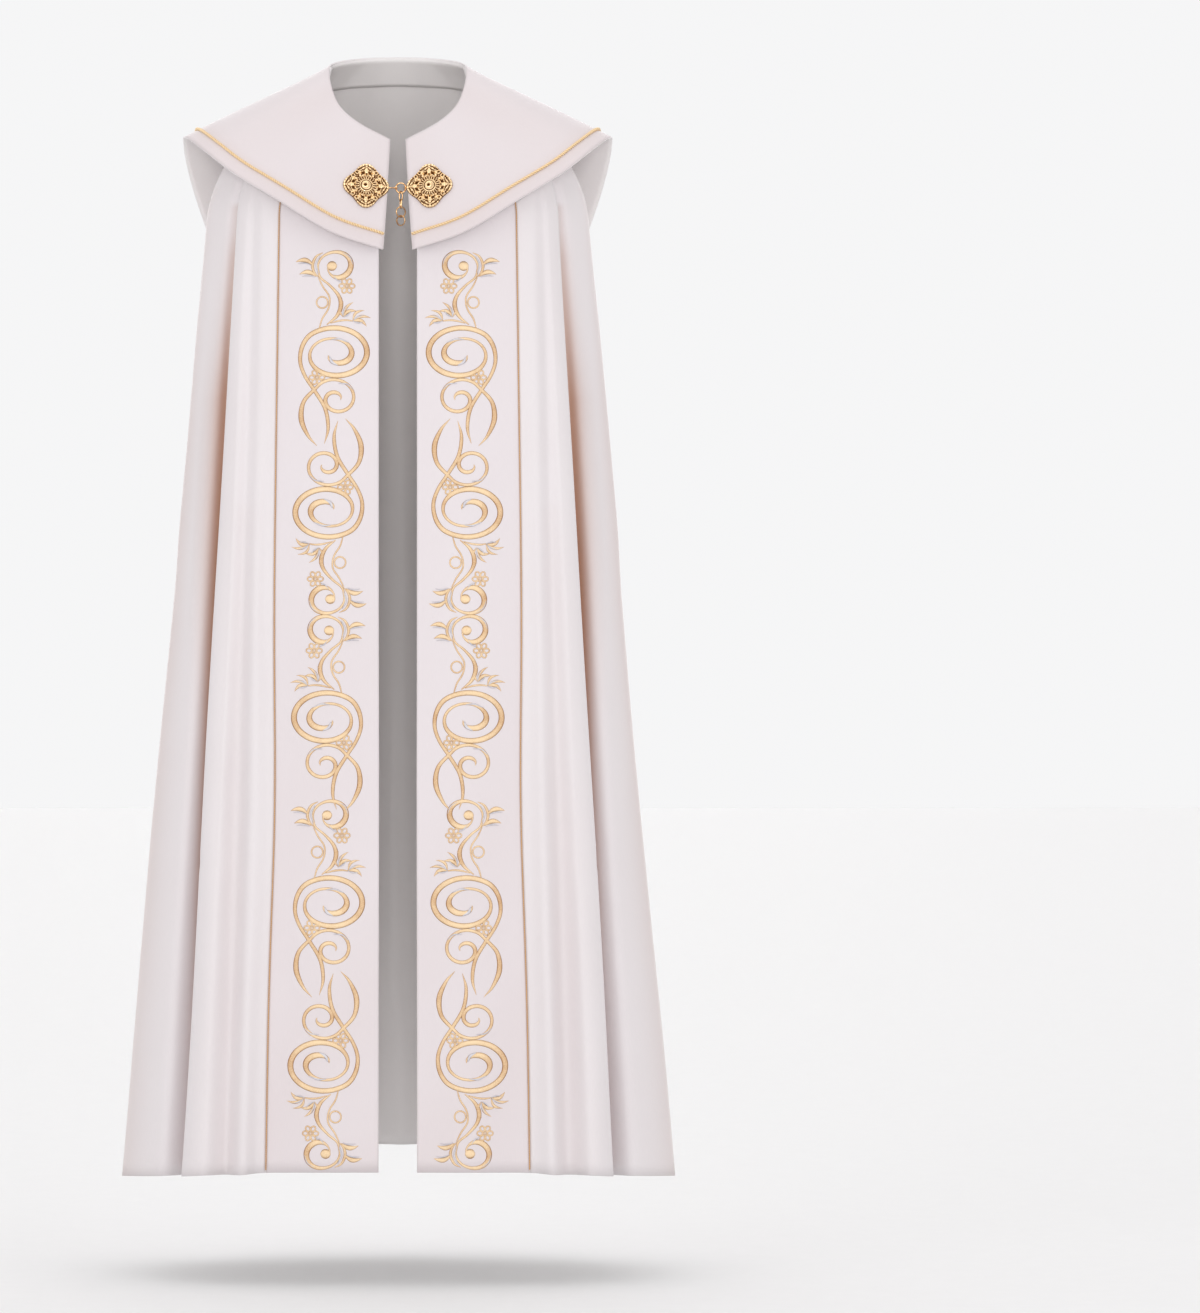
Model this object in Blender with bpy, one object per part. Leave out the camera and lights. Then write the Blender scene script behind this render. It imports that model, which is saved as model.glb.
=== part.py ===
"""Cope: a long liturgical cloak with front bands, a stiff shield-shaped hood, a clasp and a tassel.

It hangs as worn, hollow and open down the front.  The frame is in metres with +Z up.  The wearer looks
along -Y, and the origin is midway between the two points where the neck meets the shoulders.
Sizes below are in millimetres and are turned into metres where the meshes are made.
"""
import math

import bmesh
import bpy
import numpy as np
from mathutils import Matrix, Vector

MM = 0.001
X_AXIS = np.array([1.0, 0.0, 0.0])
Y_AXIS = np.array([0.0, 1.0, 0.0])
Z_AXIS = np.array([0.0, 0.0, 1.0])

# ---------------------------------------------------------------- named sizes (mm)
CLOTH = 1.6            # wall of the satin body
BAND = 2.0             # wall of the stiffened front bands
HOOD_WALL = 2.2        # wall of the stiffened hood
FACING = 1.0           # wall of the neck facing
GAP = 0.3              # clearance between touching pieces
NECK_GAP = 0.5         # clearance between the hood and the cloth at the neck seam
YOKE_Z = -204.0        # level where the folds start to hang straight
SPLITS = 3             # wall columns between two rows of a fold table
DOME_ROWS = 5          # wall rows from the neck to the yoke
LEAST_ROW = 0.01       # rows closer than this to a piece's end are left out
SKIRT_ROWS = 6         # wall rows from the yoke to the hem
HOOD_ROWS = 8          # wall rows from the neck to the hood's edge

PIPING_INSET = 21.0    # from the hood's edge to its piping
HOOD_PIPING_RADIUS = 1.5
BAND_PIPING_RADIUS = 1.0
BAND_PIPING_TOP = 0.72  # share of the dome above which the band piping is left out
BAND_PIPING_FOOT = 1.997  # it stops just above the hem, which is at 2
PIPING_END = 0.02      # columns that the hood's piping stops short of each front edge
PIPING_STEP = 0.002    # step of the search for the piping's line, as a share of the hood's depth

PLATE_X = 42.0         # centre of each clasp plate from the middle
PLATE_DROP = 0.47      # share of the hood's depth down to the plates
PLATE_MEAN_RADIUS = 27.3
PLATE_LOBE = 3.7       # how far the four lobes swell past the mean radius
PLATE_BASE = 1.6       # plate thickness under the relief
PLATE_SEAT = 0.5       # clearance under the middle of a plate
PLATE_SIDES = 48

PLATE_RINGS = (0.16, 0.33, 0.42, 0.55, 0.68, 0.82, 0.93, 1.0)   # shares of a plate's radius

RING_X = 4.0           # the clasp ring hangs a little to one side of the middle
RING_DROP = 3.0        # from the plates' tips down to the ring's centre
RING_RADIUS = 6.5      # clasp ring, to the middle of its wire
RING_WIRE = 0.8        # wire radius of the clasp ring
HOOK_WIRE = 0.6        # wire radius of the hook and the eye
HOOK_BEND = 1.9        # radius of their bends round the ring's wire
HOOK_REST = 0.45       # how far the bends' centres stand inside the ring's wire
HOOK_TAIL = 3.0        # length of the hook past its bend
LINK_WIRE = 0.7        # wire radius of the hanging links
LINK_GAP = 0.6         # clearance where one link hangs on the next

TASSEL_CORD_RADIUS = 0.8

# Neckline of one side, front to back: how far along it (0..1), then x, y, z.
NECKLINE = [
    ("front corner", 0.00, 10, -88, -100),
    ("front dip", 0.19, 52, -80, -77),
    ("front rise", 0.33, 76, -62, -55),
    ("side front", 0.43, 87, -40, -31),
    ("side", 0.56, 92, -2, -1),
    ("side back", 0.70, 84, 34, 12),
    ("back", 0.86, 46, 66, 20),
    ("back centre", 1.00, 0, 75, 22),
]

# Folds of one side, front edge to back centre.  Each row is one ridge or valley of the cloth: where it
# passes the yoke, where it meets the hem, the height at which its line bends over to the shoulder, and
# the place on the neckline where it ends.
#   name               yoke x  yoke y  hem x  hem y  hem z  turn z  neck
FOLDS = [
    ("front edge",         25,   -126,    25,  -222, -1463,   -170, 0.00),
    ("band middle",        92,   -125,    98,  -224, -1463,   -160, 0.20),
    ("band seam",         157,   -113,   173,  -212, -1464,   -136, 0.42),
    ("front ridge 1",     178,   -107,   204,  -225, -1466,   -120, 0.46),
    ("front dip",         191,    -98,   226,  -202, -1467,   -115, 0.485),
    ("front ridge 2",     202,    -93,   256,  -220, -1467,   -112, 0.505),
    ("front roll edge",   213,    -79,   285,  -190, -1470,   -108, 0.525),
    ("front undercut",    215,    -60,   266,  -118, -1472,   -105, 0.545),
    ("outer roll front",  231,    -52,   313,  -142, -1473,   -102, 0.57),
    ("outermost",         255,    -14,   369,   -62, -1478,    -94, 0.61),
    ("side valley",       245,     12,   296,     2, -1479,    -86, 0.64),
    ("side ridge",        249,     40,   358,    52, -1477,    -86, 0.67),
    ("outer roll back",   235,     70,   326,   126, -1472,    -86, 0.70),
    ("back undercut",     214,     78,   266,   104, -1468,    -84, 0.725),
    ("back roll edge",    209,    100,   289,   166, -1465,    -82, 0.75),
    ("back ridge 3",      190,    120,   226,   224, -1459,    -78, 0.79),
    ("back valley 3",     168,    122,   194,   196, -1460,    -75, 0.82),
    ("back ridge 2",      142,    139,   150,   236, -1458,    -70, 0.86),
    ("back step",         100,    136,   118,   206, -1459,    -65, 0.90),
    ("back ridge 1",       58,    150,    72,   262, -1456,    -62, 0.95),
    ("back centre",         0,    146,     0,   244, -1457,    -60, 1.00),
]
SEAM_ROW = 2           # row of FOLDS where the band meets the front panel
FACING_ROW = 7         # row of FOLDS where the neck facing ends
HIDDEN_SEAM = 0.6      # share of the dome where the shoulder pieces end, out of sight under the hood
HIDDEN_GAP = 0.0008    # half the clearance at that seam, as a share of the dome

# Widths of cloth on each side, their seams in the valleys of the folds.  Each runs from one row of FOLDS
# to another and from one level to another: 0 is the neck, 1 the yoke and 2 the hem.
#   name          first row  last row  from   to
WIDTHS = [
    ("shoulder",           2,       10,  0.0, 0.6),
    ("front_panel",        2,        7,  0.6, 2.0),
    ("side_panel",         7,       10,  0.6, 2.0),
    ("back_side",         10,       16,  0.6, 2.0),
]
# Widths that cross the centre back, from a row of FOLDS on one side to the same row on the other.
#   name             row  from   to
BACK_WIDTHS = [
    ("shoulder_back", 10,  0.0, 0.6),
    ("back_panel",    16,  0.6, 2.0),
]

# Rays of one side of the hood, front opening to back centre: a point halfway down, then one on the edge,
# and where the ray starts on the neckline.
#   name            mid x  mid y  mid z  edge x  edge y  edge z  neck
HOOD_RAYS = [
    ("opening",        14,  -127,  -178,     19,   -151,   -250, 0.00),
    ("front",          70,  -124,  -158,     89,   -151,   -226, 0.18),
    ("front side",    120,  -102,  -120,    161,   -135,   -182, 0.34),
    ("before tip",    152,   -76,   -88,    219,   -106,   -145, 0.44),
    ("near tip",      172,   -48,   -60,    255,    -74,   -116, 0.50),
    ("shoulder",      181,   -10,   -42,    283,    -24,    -93, 0.55),
    ("behind tip",    182,    26,   -40,    288,     20,    -98, 0.60),
    ("back 1",        176,    58,   -50,    283,     62,   -132, 0.66),
    ("back 2",        166,    86,   -62,    268,    100,   -184, 0.72),
    ("back 3",        150,   108,   -76,    242,    130,   -250, 0.78),
    ("back 4",        130,   126,   -90,    206,    152,   -300, 0.83),
    ("back 5",         95,   140,  -110,    150,    170,   -346, 0.89),
    ("back 6",         50,   150,  -128,     76,    182,   -384, 0.95),
    ("back centre",     0,   154,  -136,      0,    186,   -403, 1.00),
]

# Hanging end of the clasp chain, from the top: width and height outside, and turn about the upright axis.
LINKS = [
    ("chain_link_1", 8.8, 14.0, 58.0),
    ("chain_link_2", 8.0, 13.4, 105.0),
    ("chain_ring_1", 14.6, 15.0, 28.0),
    ("chain_ring_2", 14.0, 14.4, -32.0),
]

# Profile of the tassel's head below the cord: drop and radius.
TASSEL_HEAD = [
    ("cord hole", 0.0, 1.4),
    ("knob top", 1.2, 5.2),
    ("knob", 6.5, 7.9),
    ("knob foot", 11.5, 6.2),
    ("neck", 14.5, 4.8),
    ("bell top", 18.5, 7.0),
    ("bell", 28.0, 11.4),
    ("bell foot", 38.0, 11.2),
    ("band", 42.0, 11.8),
]
HEAD_SIDES = 24
HEAD_HEIGHT = 46.0
CORD_LENGTH = 35.0
SKIRT_LENGTH = 74.0
TASSEL_LEAN = math.radians(4.2)   # the tassel rests on the sloping back
# Rings of strands: how many, where their roots begin and end on the underside of the head, and how far
# their feet stand from the middle.
STRAND_RINGS = [
    ("outer", 24, 12.4, 9.4, 18.0),
    ("inner", 12, 8.2, 4.6, 10.0),
]
STRAND_STEPS = 4
STRAND_SWAY = 0.7      # how far a strand wavers from its line
STRAND_WAVES = 3.1     # radians of waver along a strand
STRAND_SHIFT = 2.4     # radians by which each strand's waver is ahead of the last one's
STRAND_FLARE = 0.8     # under 1, the strands spread fastest just below the head

# ---------------------------------------------------------------- curves and surfaces


def net(table, columns, mirror):
    """Rows of a table as an array with one extra row at each end, so that a curve passes every row."""
    rows = np.array([[float(value) for value in row[columns]] for row in table])
    before = 2 * rows[0] - rows[1]
    after = rows[-2] * np.array(mirror)
    return np.vstack([before, rows, after])


def curve(points, place):
    """Point of the smooth curve through an array's rows; a whole number falls on a row."""
    step = min(max(int(math.floor(place)), 0), len(points) - 4)
    t = place - step
    p0, p1, p2, p3 = points[step:step + 4]
    return 0.5 * (2 * p1 + (p2 - p0) * t + (2 * p0 - 5 * p1 + 4 * p2 - p3) * t * t
                  + (3 * p1 - p0 - 3 * p2 + p3) * t ** 3)


NECK_NET = net(NECKLINE, slice(2, 5), (-1, 1, 1))
NECK_PLACES = [row[1] for row in NECKLINE]
FOLD_NET = net(FOLDS, slice(1, 8), (-1, 1, -1, 1, 1, 1, 1))
HOOD_NET = net(HOOD_RAYS, slice(1, 8), (-1, 1, 1, -1, 1, 1, 1))
HOOD_NET[-1][5] = 2 * HOOD_NET[-2][5] - HOOD_NET[-3][5]   # its edge comes to a point at the centre back
FOLD_LAST = len(FOLDS) - 1
HOOD_LAST = len(HOOD_RAYS) - 1


def neckline(share):
    """Point of the neckline at a share of its way from the front corner to the back centre."""
    place = np.interp(share, NECK_PLACES, range(len(NECK_PLACES)))
    return curve(NECK_NET, float(place))


def bend(start, turn, end, t):
    """Point of the curve that leaves start towards turn and comes to end from it."""
    return (1 - t) ** 2 * start + 2 * t * (1 - t) * turn + t * t * end


def on_side(point, place):
    """Mirrors a point to the side that the sign of its place stands for."""
    return np.array([-point[0] if place < 0 else point[0], point[1], point[2]])


def hood_point(place, down):
    """Outer face of the hood: place runs from one front edge (-HOOD_LAST) to the other, down from 0 to 1."""
    row = curve(HOOD_NET, HOOD_LAST - abs(place))
    start = neckline(min(row[6], 1.0))
    middle, edge = row[0:3], row[3:6]
    turn = 2 * middle - 0.5 * (start + edge)
    return on_side(bend(start, turn, edge, down), place)


def normal(surface, place, down):
    """Outward direction of a surface, from points close by."""
    step = 0.02
    along = surface(place + step, down) - surface(place - step, down)
    downward = surface(place, down + step) - surface(place, down - step)
    across = np.cross(along, downward)
    return across / np.linalg.norm(across)


HOOD_NECK_PLACES = [HOOD_RAYS[i][7] for i in range(HOOD_LAST + 1)]


def cloth_neck(share):
    """Neck edge of the cloth, tucked under the neck edge of the hood."""
    place = HOOD_LAST - np.interp(share, HOOD_NECK_PLACES, range(HOOD_LAST + 1))
    return neckline(share) - normal(hood_point, max(float(place), 0.001), 0.03) * (HOOD_WALL + NECK_GAP)


def cope_point(place, down):
    """Outer face of the cloth: place runs from one front edge (-FOLD_LAST) to the other; down runs from
    0 at the neck to 1 at the yoke and 2 at the hem."""
    yoke_x, yoke_y, hem_x, hem_y, hem_z, turn_z, share = curve(FOLD_NET, FOLD_LAST - abs(place))
    yoke = np.array([yoke_x, yoke_y, YOKE_Z])
    hem = np.array([hem_x, hem_y, hem_z])
    if down >= 1:
        return on_side(yoke + (hem - yoke) * (down - 1), place)
    rise = (turn_z - YOKE_Z) / (YOKE_Z - hem_z)
    turn = yoke + (yoke - hem) * rise
    return on_side(bend(cloth_neck(min(share, 1.0)), turn, yoke, down), place)


# ---------------------------------------------------------------- meshes


def material(name, colour, roughness, metallic):
    made = bpy.data.materials.new(name)
    made.use_nodes = True
    shader = made.node_tree.nodes["Principled BSDF"]
    shader.inputs["Base Color"].default_value = (*colour, 1.0)
    shader.inputs["Roughness"].default_value = roughness
    shader.inputs["Metallic"].default_value = metallic
    return made


def solid(name, points, faces, look, smooth_angle=40):
    """Object from points in millimetres, with its own material."""
    mesh = bpy.data.meshes.new(name)
    mesh.from_pydata([tuple(float(value) * MM for value in point) for point in points], [], faces)
    mesh.materials.append(material(name, *look))
    mesh.shade_smooth()
    mesh.set_sharp_from_angle(angle=math.radians(smooth_angle))
    made = bpy.data.objects.new(name, mesh)
    bpy.context.collection.objects.link(made)
    return made


def wall(name, surface, places, downs, thickness, look, lift=0.0, trims=(0.0, 0.0)):
    """Closed wall of cloth: its outer face lies on the surface (or lift off it), its inner face one
    thickness inside.  trims pull the first and last column back along the surface."""
    outer, inner = [], []
    for down in downs:
        for column, place in enumerate(places):
            point = surface(place, down)
            if column in (0, len(places) - 1):
                forward = surface(place + 0.02, down) - surface(place - 0.02, down)
                trim = trims[0] if column == 0 else -trims[1]
                point = point + forward / np.linalg.norm(forward) * trim
            out = normal(surface, place, down)
            outer.append(point + out * lift)
            inner.append(point + out * (lift - thickness))
    across, deep, half = len(places), len(downs), len(outer)
    faces = []
    for row in range(deep - 1):
        for column in range(across - 1):
            corner = row * across + column
            quad = (corner, corner + 1, corner + across + 1, corner + across)
            faces.append(quad)
            faces.append(tuple(half + index for index in reversed(quad)))
    border = [column for column in range(across)]
    border += [row * across + across - 1 for row in range(1, deep)]
    border += [(deep - 1) * across + column for column in range(across - 2, -1, -1)]
    border += [row * across for row in range(deep - 2, 0, -1)]
    for first, second in zip(border, border[1:] + border[:1]):
        faces.append((second, first, half + first, half + second))
    return solid(name, outer + inner, faces, look)


def tube(name, path, radius, sides, look, closed=False):
    """Round cord or wire along a list of points."""
    data = bpy.data.curves.new(name, "CURVE")
    data.dimensions = "3D"
    data.bevel_depth = radius * MM
    data.bevel_resolution = max(sides // 2 - 2, 0) if sides > 4 else 0
    data.use_fill_caps = not closed
    spline = data.splines.new("POLY")
    spline.points.add(len(path) - 1)
    for point, place in zip(spline.points, path):
        point.co = (*(float(value) * MM for value in place), 1.0)
    spline.use_cyclic_u = closed
    data.materials.append(material(name, *look))
    made = bpy.data.objects.new(name, data)
    bpy.context.collection.objects.link(made)
    return made


def spread(first, last, parts):
    return [first + (last - first) * index / parts for index in range(parts + 1)]


# ---------------------------------------------------------------- looks
SATIN = ((0.82, 0.78, 0.77), 0.42, 0.0)
BAND_SATIN = ((0.83, 0.79, 0.79), 0.45, 0.0)
GOLD_CORD = ((0.78, 0.55, 0.24), 0.5, 0.3)
CAST_GOLD = ((0.75, 0.52, 0.22), 0.32, 1.0)
BULLION = ((0.72, 0.52, 0.24), 0.45, 0.5)

DOME = spread(0.0, 1.0, DOME_ROWS)
SKIRT = spread(1.0, 2.0, SKIRT_ROWS)[1:]


def fold_places(first_row, last_row):
    """Places from one row of FOLDS to another on the positive side."""
    first, last = FOLD_LAST - first_row, FOLD_LAST - last_row
    return spread(first, last, abs(last - first) * SPLITS)


def levels(start, end):
    """Rows of a wall from one level to another, with clearance at the hidden seam."""
    between = [down for down in DOME + SKIRT if start + LEAST_ROW < down < end - LEAST_ROW]
    first = start + HIDDEN_GAP if start == HIDDEN_SEAM else start
    last = end - HIDDEN_GAP if end == HIDDEN_SEAM else end
    return [first] + between + [last]


def build_cloth():
    """The cope's cloth: widths from the shoulders to the hem and two bands, edge to edge at their seams."""
    trim = (GAP / 2, GAP / 2)
    for name, row, start, end in BACK_WIDTHS:
        reach = FOLD_LAST - row
        places = spread(-reach, reach, 2 * reach * SPLITS)
        wall(name, cope_point, places, levels(start, end), CLOTH, SATIN, trims=trim)
    for hand, sign in (("right", -1), ("left", 1)):
        for name, first_row, last_row, start, end in WIDTHS:
            places = sorted(sign * place for place in fold_places(first_row, last_row))
            wall(name + "_" + hand, cope_point, places, levels(start, end), CLOTH, SATIN, trims=trim)
        places = sorted(sign * place for place in fold_places(0, SEAM_ROW))
        wall("orphrey_" + hand, cope_point, places, DOME + SKIRT, BAND, BAND_SATIN, trims=trim)


def build_neck_facing():
    """Band inside the back of the neck, laid under the cloth."""
    reach = FOLD_LAST - FACING_ROW
    places = spread(-reach, reach, 2 * reach * SPLITS)
    wall("neck_facing", cope_point, places, DOME[:2], FACING, BAND_SATIN, lift=-CLOTH - 2 * GAP)


def build_hood():
    """The stiff hood round the shoulders, and the piping that runs along its edge."""
    places = spread(-HOOD_LAST, HOOD_LAST, 2 * HOOD_LAST * 2)
    wall("hood", hood_point, places, spread(0.0, 1.0, HOOD_ROWS), HOOD_WALL, BAND_SATIN)
    path = []
    reach = HOOD_LAST - PIPING_END
    for place in spread(-reach, reach, 2 * HOOD_LAST * 2):
        down = 1.0
        edge = hood_point(place, 1.0)
        while np.linalg.norm(hood_point(place, down) - edge) < PIPING_INSET:
            down -= PIPING_STEP
        path.append(hood_point(place, down) + normal(hood_point, place, down) * (HOOD_PIPING_RADIUS + GAP))
    tube("hood_piping", path, HOOD_PIPING_RADIUS, 6, GOLD_CORD)


def build_band_piping():
    """Thin gold cord on the seam of each band."""
    for name, sign in (("right", -1), ("left", 1)):
        place = sign * (FOLD_LAST - SEAM_ROW)
        path = []
        for down in spread(BAND_PIPING_TOP, 1.0, 2)[:2] + spread(1.0, BAND_PIPING_FOOT, SKIRT_ROWS):
            out = normal(cope_point, place, down)
            path.append(cope_point(place, down) + out * (BAND_PIPING_RADIUS + GAP))
        tube("orphrey_piping_" + name, path, BAND_PIPING_RADIUS, 6, GOLD_CORD)


# ---------------------------------------------------------------- clasp


def clasp_frame(sign):
    """Where a plate sits on the hood's front: its centre, and its right, out and up directions."""
    low, high = HOOD_LAST - 2.0, float(HOOD_LAST)
    for _ in range(40):
        middle = (low + high) / 2
        if hood_point(middle, PLATE_DROP)[0] > PLATE_X:
            low = middle
        else:
            high = middle
    place = sign * middle
    out = normal(hood_point, place, PLATE_DROP)
    right = np.cross(Z_AXIS, out)
    right = right / np.linalg.norm(right)
    up = np.cross(out, right)
    if up[2] < 0:
        up = -up
    return hood_point(place, PLATE_DROP), right, out, up


def plate_radius(angle):
    return PLATE_MEAN_RADIUS + PLATE_LOBE * math.cos(4 * angle)


def plate_relief(share, angle):
    """Height of the cast relief at a share of the radius: rim, four lobes, ring of leaves, dimpled boss."""
    radius = share * plate_radius(angle)
    rim = 1.0 * math.exp(-((share - 0.95) / 0.05) ** 2)
    lobe = 2.2 * max(math.cos(4 * angle), 0) * math.exp(-((radius - 21) / 5.5) ** 2)
    leaves = (1.2 + 0.8 * math.cos(12 * angle)) * math.exp(-((radius - 12) / 2.2) ** 2)
    boss = 3.4 * max(1 - (radius / 9.2) ** 2, 0) ** 0.5
    dimple = 1.6 * math.exp(-(radius / 3.0) ** 2)
    return rim + lobe + leaves + boss - dimple


def build_plate(name, sign):
    """Cast quatrefoil plate, flat behind, seated on the hood."""
    centre, right, out, up = clasp_frame(sign)
    seat = centre + out * PLATE_SEAT
    points = [seat + out * (PLATE_BASE + plate_relief(0.0, 0.0))]
    for share in PLATE_RINGS:
        for side in range(PLATE_SIDES):
            angle = 2 * math.pi * side / PLATE_SIDES
            radius = share * plate_radius(angle)
            height = PLATE_BASE + plate_relief(share, angle)
            points.append(seat + right * radius * math.cos(angle) + up * radius * math.sin(angle)
                          + out * height)
    back_first = len(points)
    for side in range(PLATE_SIDES):
        angle = 2 * math.pi * side / PLATE_SIDES
        radius = plate_radius(angle)
        points.append(seat + right * radius * math.cos(angle) + up * radius * math.sin(angle))
    points.append(seat)
    faces = []
    for side in range(PLATE_SIDES):
        after = (side + 1) % PLATE_SIDES
        faces.append((0, 1 + side, 1 + after))
        for ring in range(len(PLATE_RINGS) - 1):
            near, far = 1 + ring * PLATE_SIDES, 1 + (ring + 1) * PLATE_SIDES
            faces.append((near + side, far + side, far + after, near + after))
        rim = 1 + (len(PLATE_RINGS) - 1) * PLATE_SIDES
        faces.append((rim + side, back_first + side, back_first + after, rim + after))
        faces.append((back_first + side, len(points) - 1, back_first + after))
    plate = solid(name, points, faces, CAST_GOLD, 60)
    face_out(plate)
    return plate


def face_out(made):
    """Turns every face of a closed mesh outward."""
    shape = bmesh.new()
    shape.from_mesh(made.data)
    bmesh.ops.recalc_face_normals(shape, faces=shape.faces)
    shape.to_mesh(made.data)
    shape.free()


def arc(centre, first, second, radius, start, end, steps):
    """Points of an arc in the plane of two directions, angles in degrees."""
    points = []
    for index in range(steps + 1):
        angle = math.radians(start + (end - start) * index / steps)
        points.append(centre + first * radius * math.cos(angle) + second * radius * math.sin(angle))
    return points


def build_clasp():
    """Plates, the ring between them, the hook of one plate and the eye of the other.  Returns the centre
    of the ring."""
    build_plate("clasp_plate_right", -1)
    build_plate("clasp_plate_left", 1)
    centre, right, out, _ = clasp_frame(1)
    tip = centre + out * (PLATE_SEAT + PLATE_BASE / 2) - right * plate_radius(0.0)
    level = np.array([0.0, tip[1], tip[2] - RING_DROP])
    ring_centre = level + X_AXIS * RING_X
    tube("clasp_ring", arc(ring_centre, X_AXIS, Z_AXIS, RING_RADIUS, 0, 345, 23), RING_WIRE, 8,
         CAST_GOLD, closed=True)
    bend_reach = RING_RADIUS - HOOK_REST
    side = Y_AXIS * HOOK_BEND
    plate_edge = X_AXIS * (tip[0] - GAP)
    eye = [level + plate_edge - side]
    eye += arc(ring_centre + X_AXIS * bend_reach, -Y_AXIS, -X_AXIS, HOOK_BEND, 0, 180, 8)
    eye += [level + plate_edge + side]
    tube("clasp_eye", eye, HOOK_WIRE, 6, CAST_GOLD)
    hook_centre = ring_centre - X_AXIS * bend_reach
    hook = [level - plate_edge - side]
    hook += arc(hook_centre, -Y_AXIS, X_AXIS, HOOK_BEND, 0, 180, 8)
    hook += [hook_centre + side - X_AXIS * HOOK_TAIL]
    tube("clasp_hook", hook, HOOK_WIRE, 6, CAST_GOLD)
    return ring_centre


def link_path(centre, width, height, turn):
    """Middle line of an oval link that hangs upright, turned about the upright axis."""
    flat = np.array([math.cos(math.radians(turn)), math.sin(math.radians(turn)), 0.0])
    radius = width / 2 - LINK_WIRE
    straight = height / 2 - LINK_WIRE - radius
    path = arc(centre + Z_AXIS * straight, flat, Z_AXIS, radius, 0, 180, 8)
    path += arc(centre - Z_AXIS * straight, flat, Z_AXIS, radius, 180, 360, 8)
    if straight < 0.01:
        path = arc(centre, flat, Z_AXIS, radius, 0, 360, 20)[:-1]
    return path


def build_chain(ring_centre):
    """Two links and two rings that hang from the clasp ring, each resting on the wire above it."""
    rest = ring_centre[2] - RING_RADIUS + RING_WIRE
    for name, width, height, turn in LINKS:
        top = rest + LINK_GAP + 2 * LINK_WIRE
        centre = np.array([ring_centre[0], ring_centre[1], top - height / 2])
        tube(name, link_path(centre, width, height, turn), LINK_WIRE, 6, CAST_GOLD, closed=True)
        rest = top - height + 2 * LINK_WIRE


# ---------------------------------------------------------------- tassel


def build_tassel():
    """Cord from the hood's tip, a turned head, and twisted strands rooted in it."""
    tip = hood_point(0.0, 1.0) - normal(hood_point, 0.0, 1.0) * HOOD_WALL / 2
    lean = Matrix.Rotation(TASSEL_LEAN, 4, "X")
    top = Vector(tip) + Vector((0, 0, -GAP))

    def hang(point):
        return top + lean @ Vector(point)

    cord = [hang((0, 0, -drop)) for drop in spread(0.0, CORD_LENGTH - GAP, 6)]
    tube("tassel_cord", cord, TASSEL_CORD_RADIUS, 8, BULLION)

    points, faces = head_mesh()
    roots = add_underside(points, faces)
    for number, (root, foot) in enumerate(roots):
        add_strand(points, faces, root, foot, number)
    made = solid("tassel", [np.array(hang(point)) for point in points], faces, BULLION)
    face_out(made)


def ring_points(points, count, radius, level):
    """Adds a level ring of points and returns their numbers."""
    first = len(points)
    for side in range(count):
        angle = 2 * math.pi * side / count
        points.append((radius * math.cos(angle), radius * math.sin(angle), level))
    return [first + side for side in range(count)]


def head_mesh():
    """Turned head of the tassel, open below."""
    points, faces = [], []
    above = None
    for _, drop, radius in TASSEL_HEAD:
        ring = ring_points(points, HEAD_SIDES, radius, -CORD_LENGTH - drop)
        if above is None:
            faces.append(tuple(ring))
        else:
            join_rings(faces, above, ring)
        above = ring
    return points, faces


def join_rings(faces, above, below):
    """Faces between two rings; the lower one may have twice as many points."""
    count, finer = len(above), len(below) // len(above)
    for side in range(count):
        after = (side + 1) % count
        lower = [below[(side * finer + step) % len(below)] for step in range(finer + 1)]
        faces.append((above[side], *lower, above[after]))


def add_underside(points, faces):
    """Closes the head below.  Every second face of each ring is left open, as the root of a strand, and
    returned with the radius of the strand's foot."""
    level = -CORD_LENGTH - HEAD_HEIGHT
    above = list(range(len(points) - HEAD_SIDES, len(points)))
    roots = []
    for _, count, outer, inner, foot in STRAND_RINGS:
        far = ring_points(points, 2 * count, outer, level)
        near = ring_points(points, 2 * count, inner, level)
        if len(far) >= len(above):
            join_rings(faces, above, far)
        else:
            join_rings(faces, far, above)
        for side in range(2 * count):
            after = (side + 1) % (2 * count)
            face = (far[side], near[side], near[after], far[after])
            if side % 2 == 0:
                roots.append((face, foot))
            else:
                faces.append(face)
        above = near
    faces.append(tuple(above))
    return roots


def add_strand(points, faces, root, foot, number):
    """Slender strand drawn down from its root face, spreading outward, with a slight waver of its own."""
    corners = [np.array(points[index]) for index in root]
    middle = sum(corners) / len(corners)
    outward = np.array([middle[0], middle[1], 0.0]) / math.hypot(middle[0], middle[1])
    sideways = np.array([-outward[1], outward[0], 0.0])
    above = list(root)
    for step in range(1, STRAND_STEPS + 1):
        share = step / STRAND_STEPS
        spread_out = (foot - math.hypot(middle[0], middle[1])) * share ** STRAND_FLARE
        sway = STRAND_SWAY * math.sin(STRAND_SHIFT * number + STRAND_WAVES * share) * share
        shift = outward * spread_out + sideways * sway - Z_AXIS * (SKIRT_LENGTH * share)
        below = []
        for corner in corners:
            below.append(len(points))
            points.append(tuple(corner + shift))
        join_rings(faces, above, below)
        above = below
    faces.append(tuple(above))


def main():
    for old in list(bpy.data.objects):
        bpy.data.objects.remove(old)
    build_cloth()
    build_neck_facing()
    build_hood()
    build_band_piping()
    build_chain(build_clasp())
    build_tassel()


main()
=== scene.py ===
"""Cope: a long satin cloak with embroidered front bands, a stiff shield-shaped hood, a cast clasp and a
bullion tassel.  It hangs as worn, hollow and open down the front.

Lengths below are in millimetres, in the part's own frame, and become metres where meshes are made.
The surfaces are the same ones that shape the part's solids, drawn here with many more points.
"""
import math

import bmesh
import bpy
import numpy as np
from mathutils import Matrix, Vector
from mathutils.bvhtree import BVHTree


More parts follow.
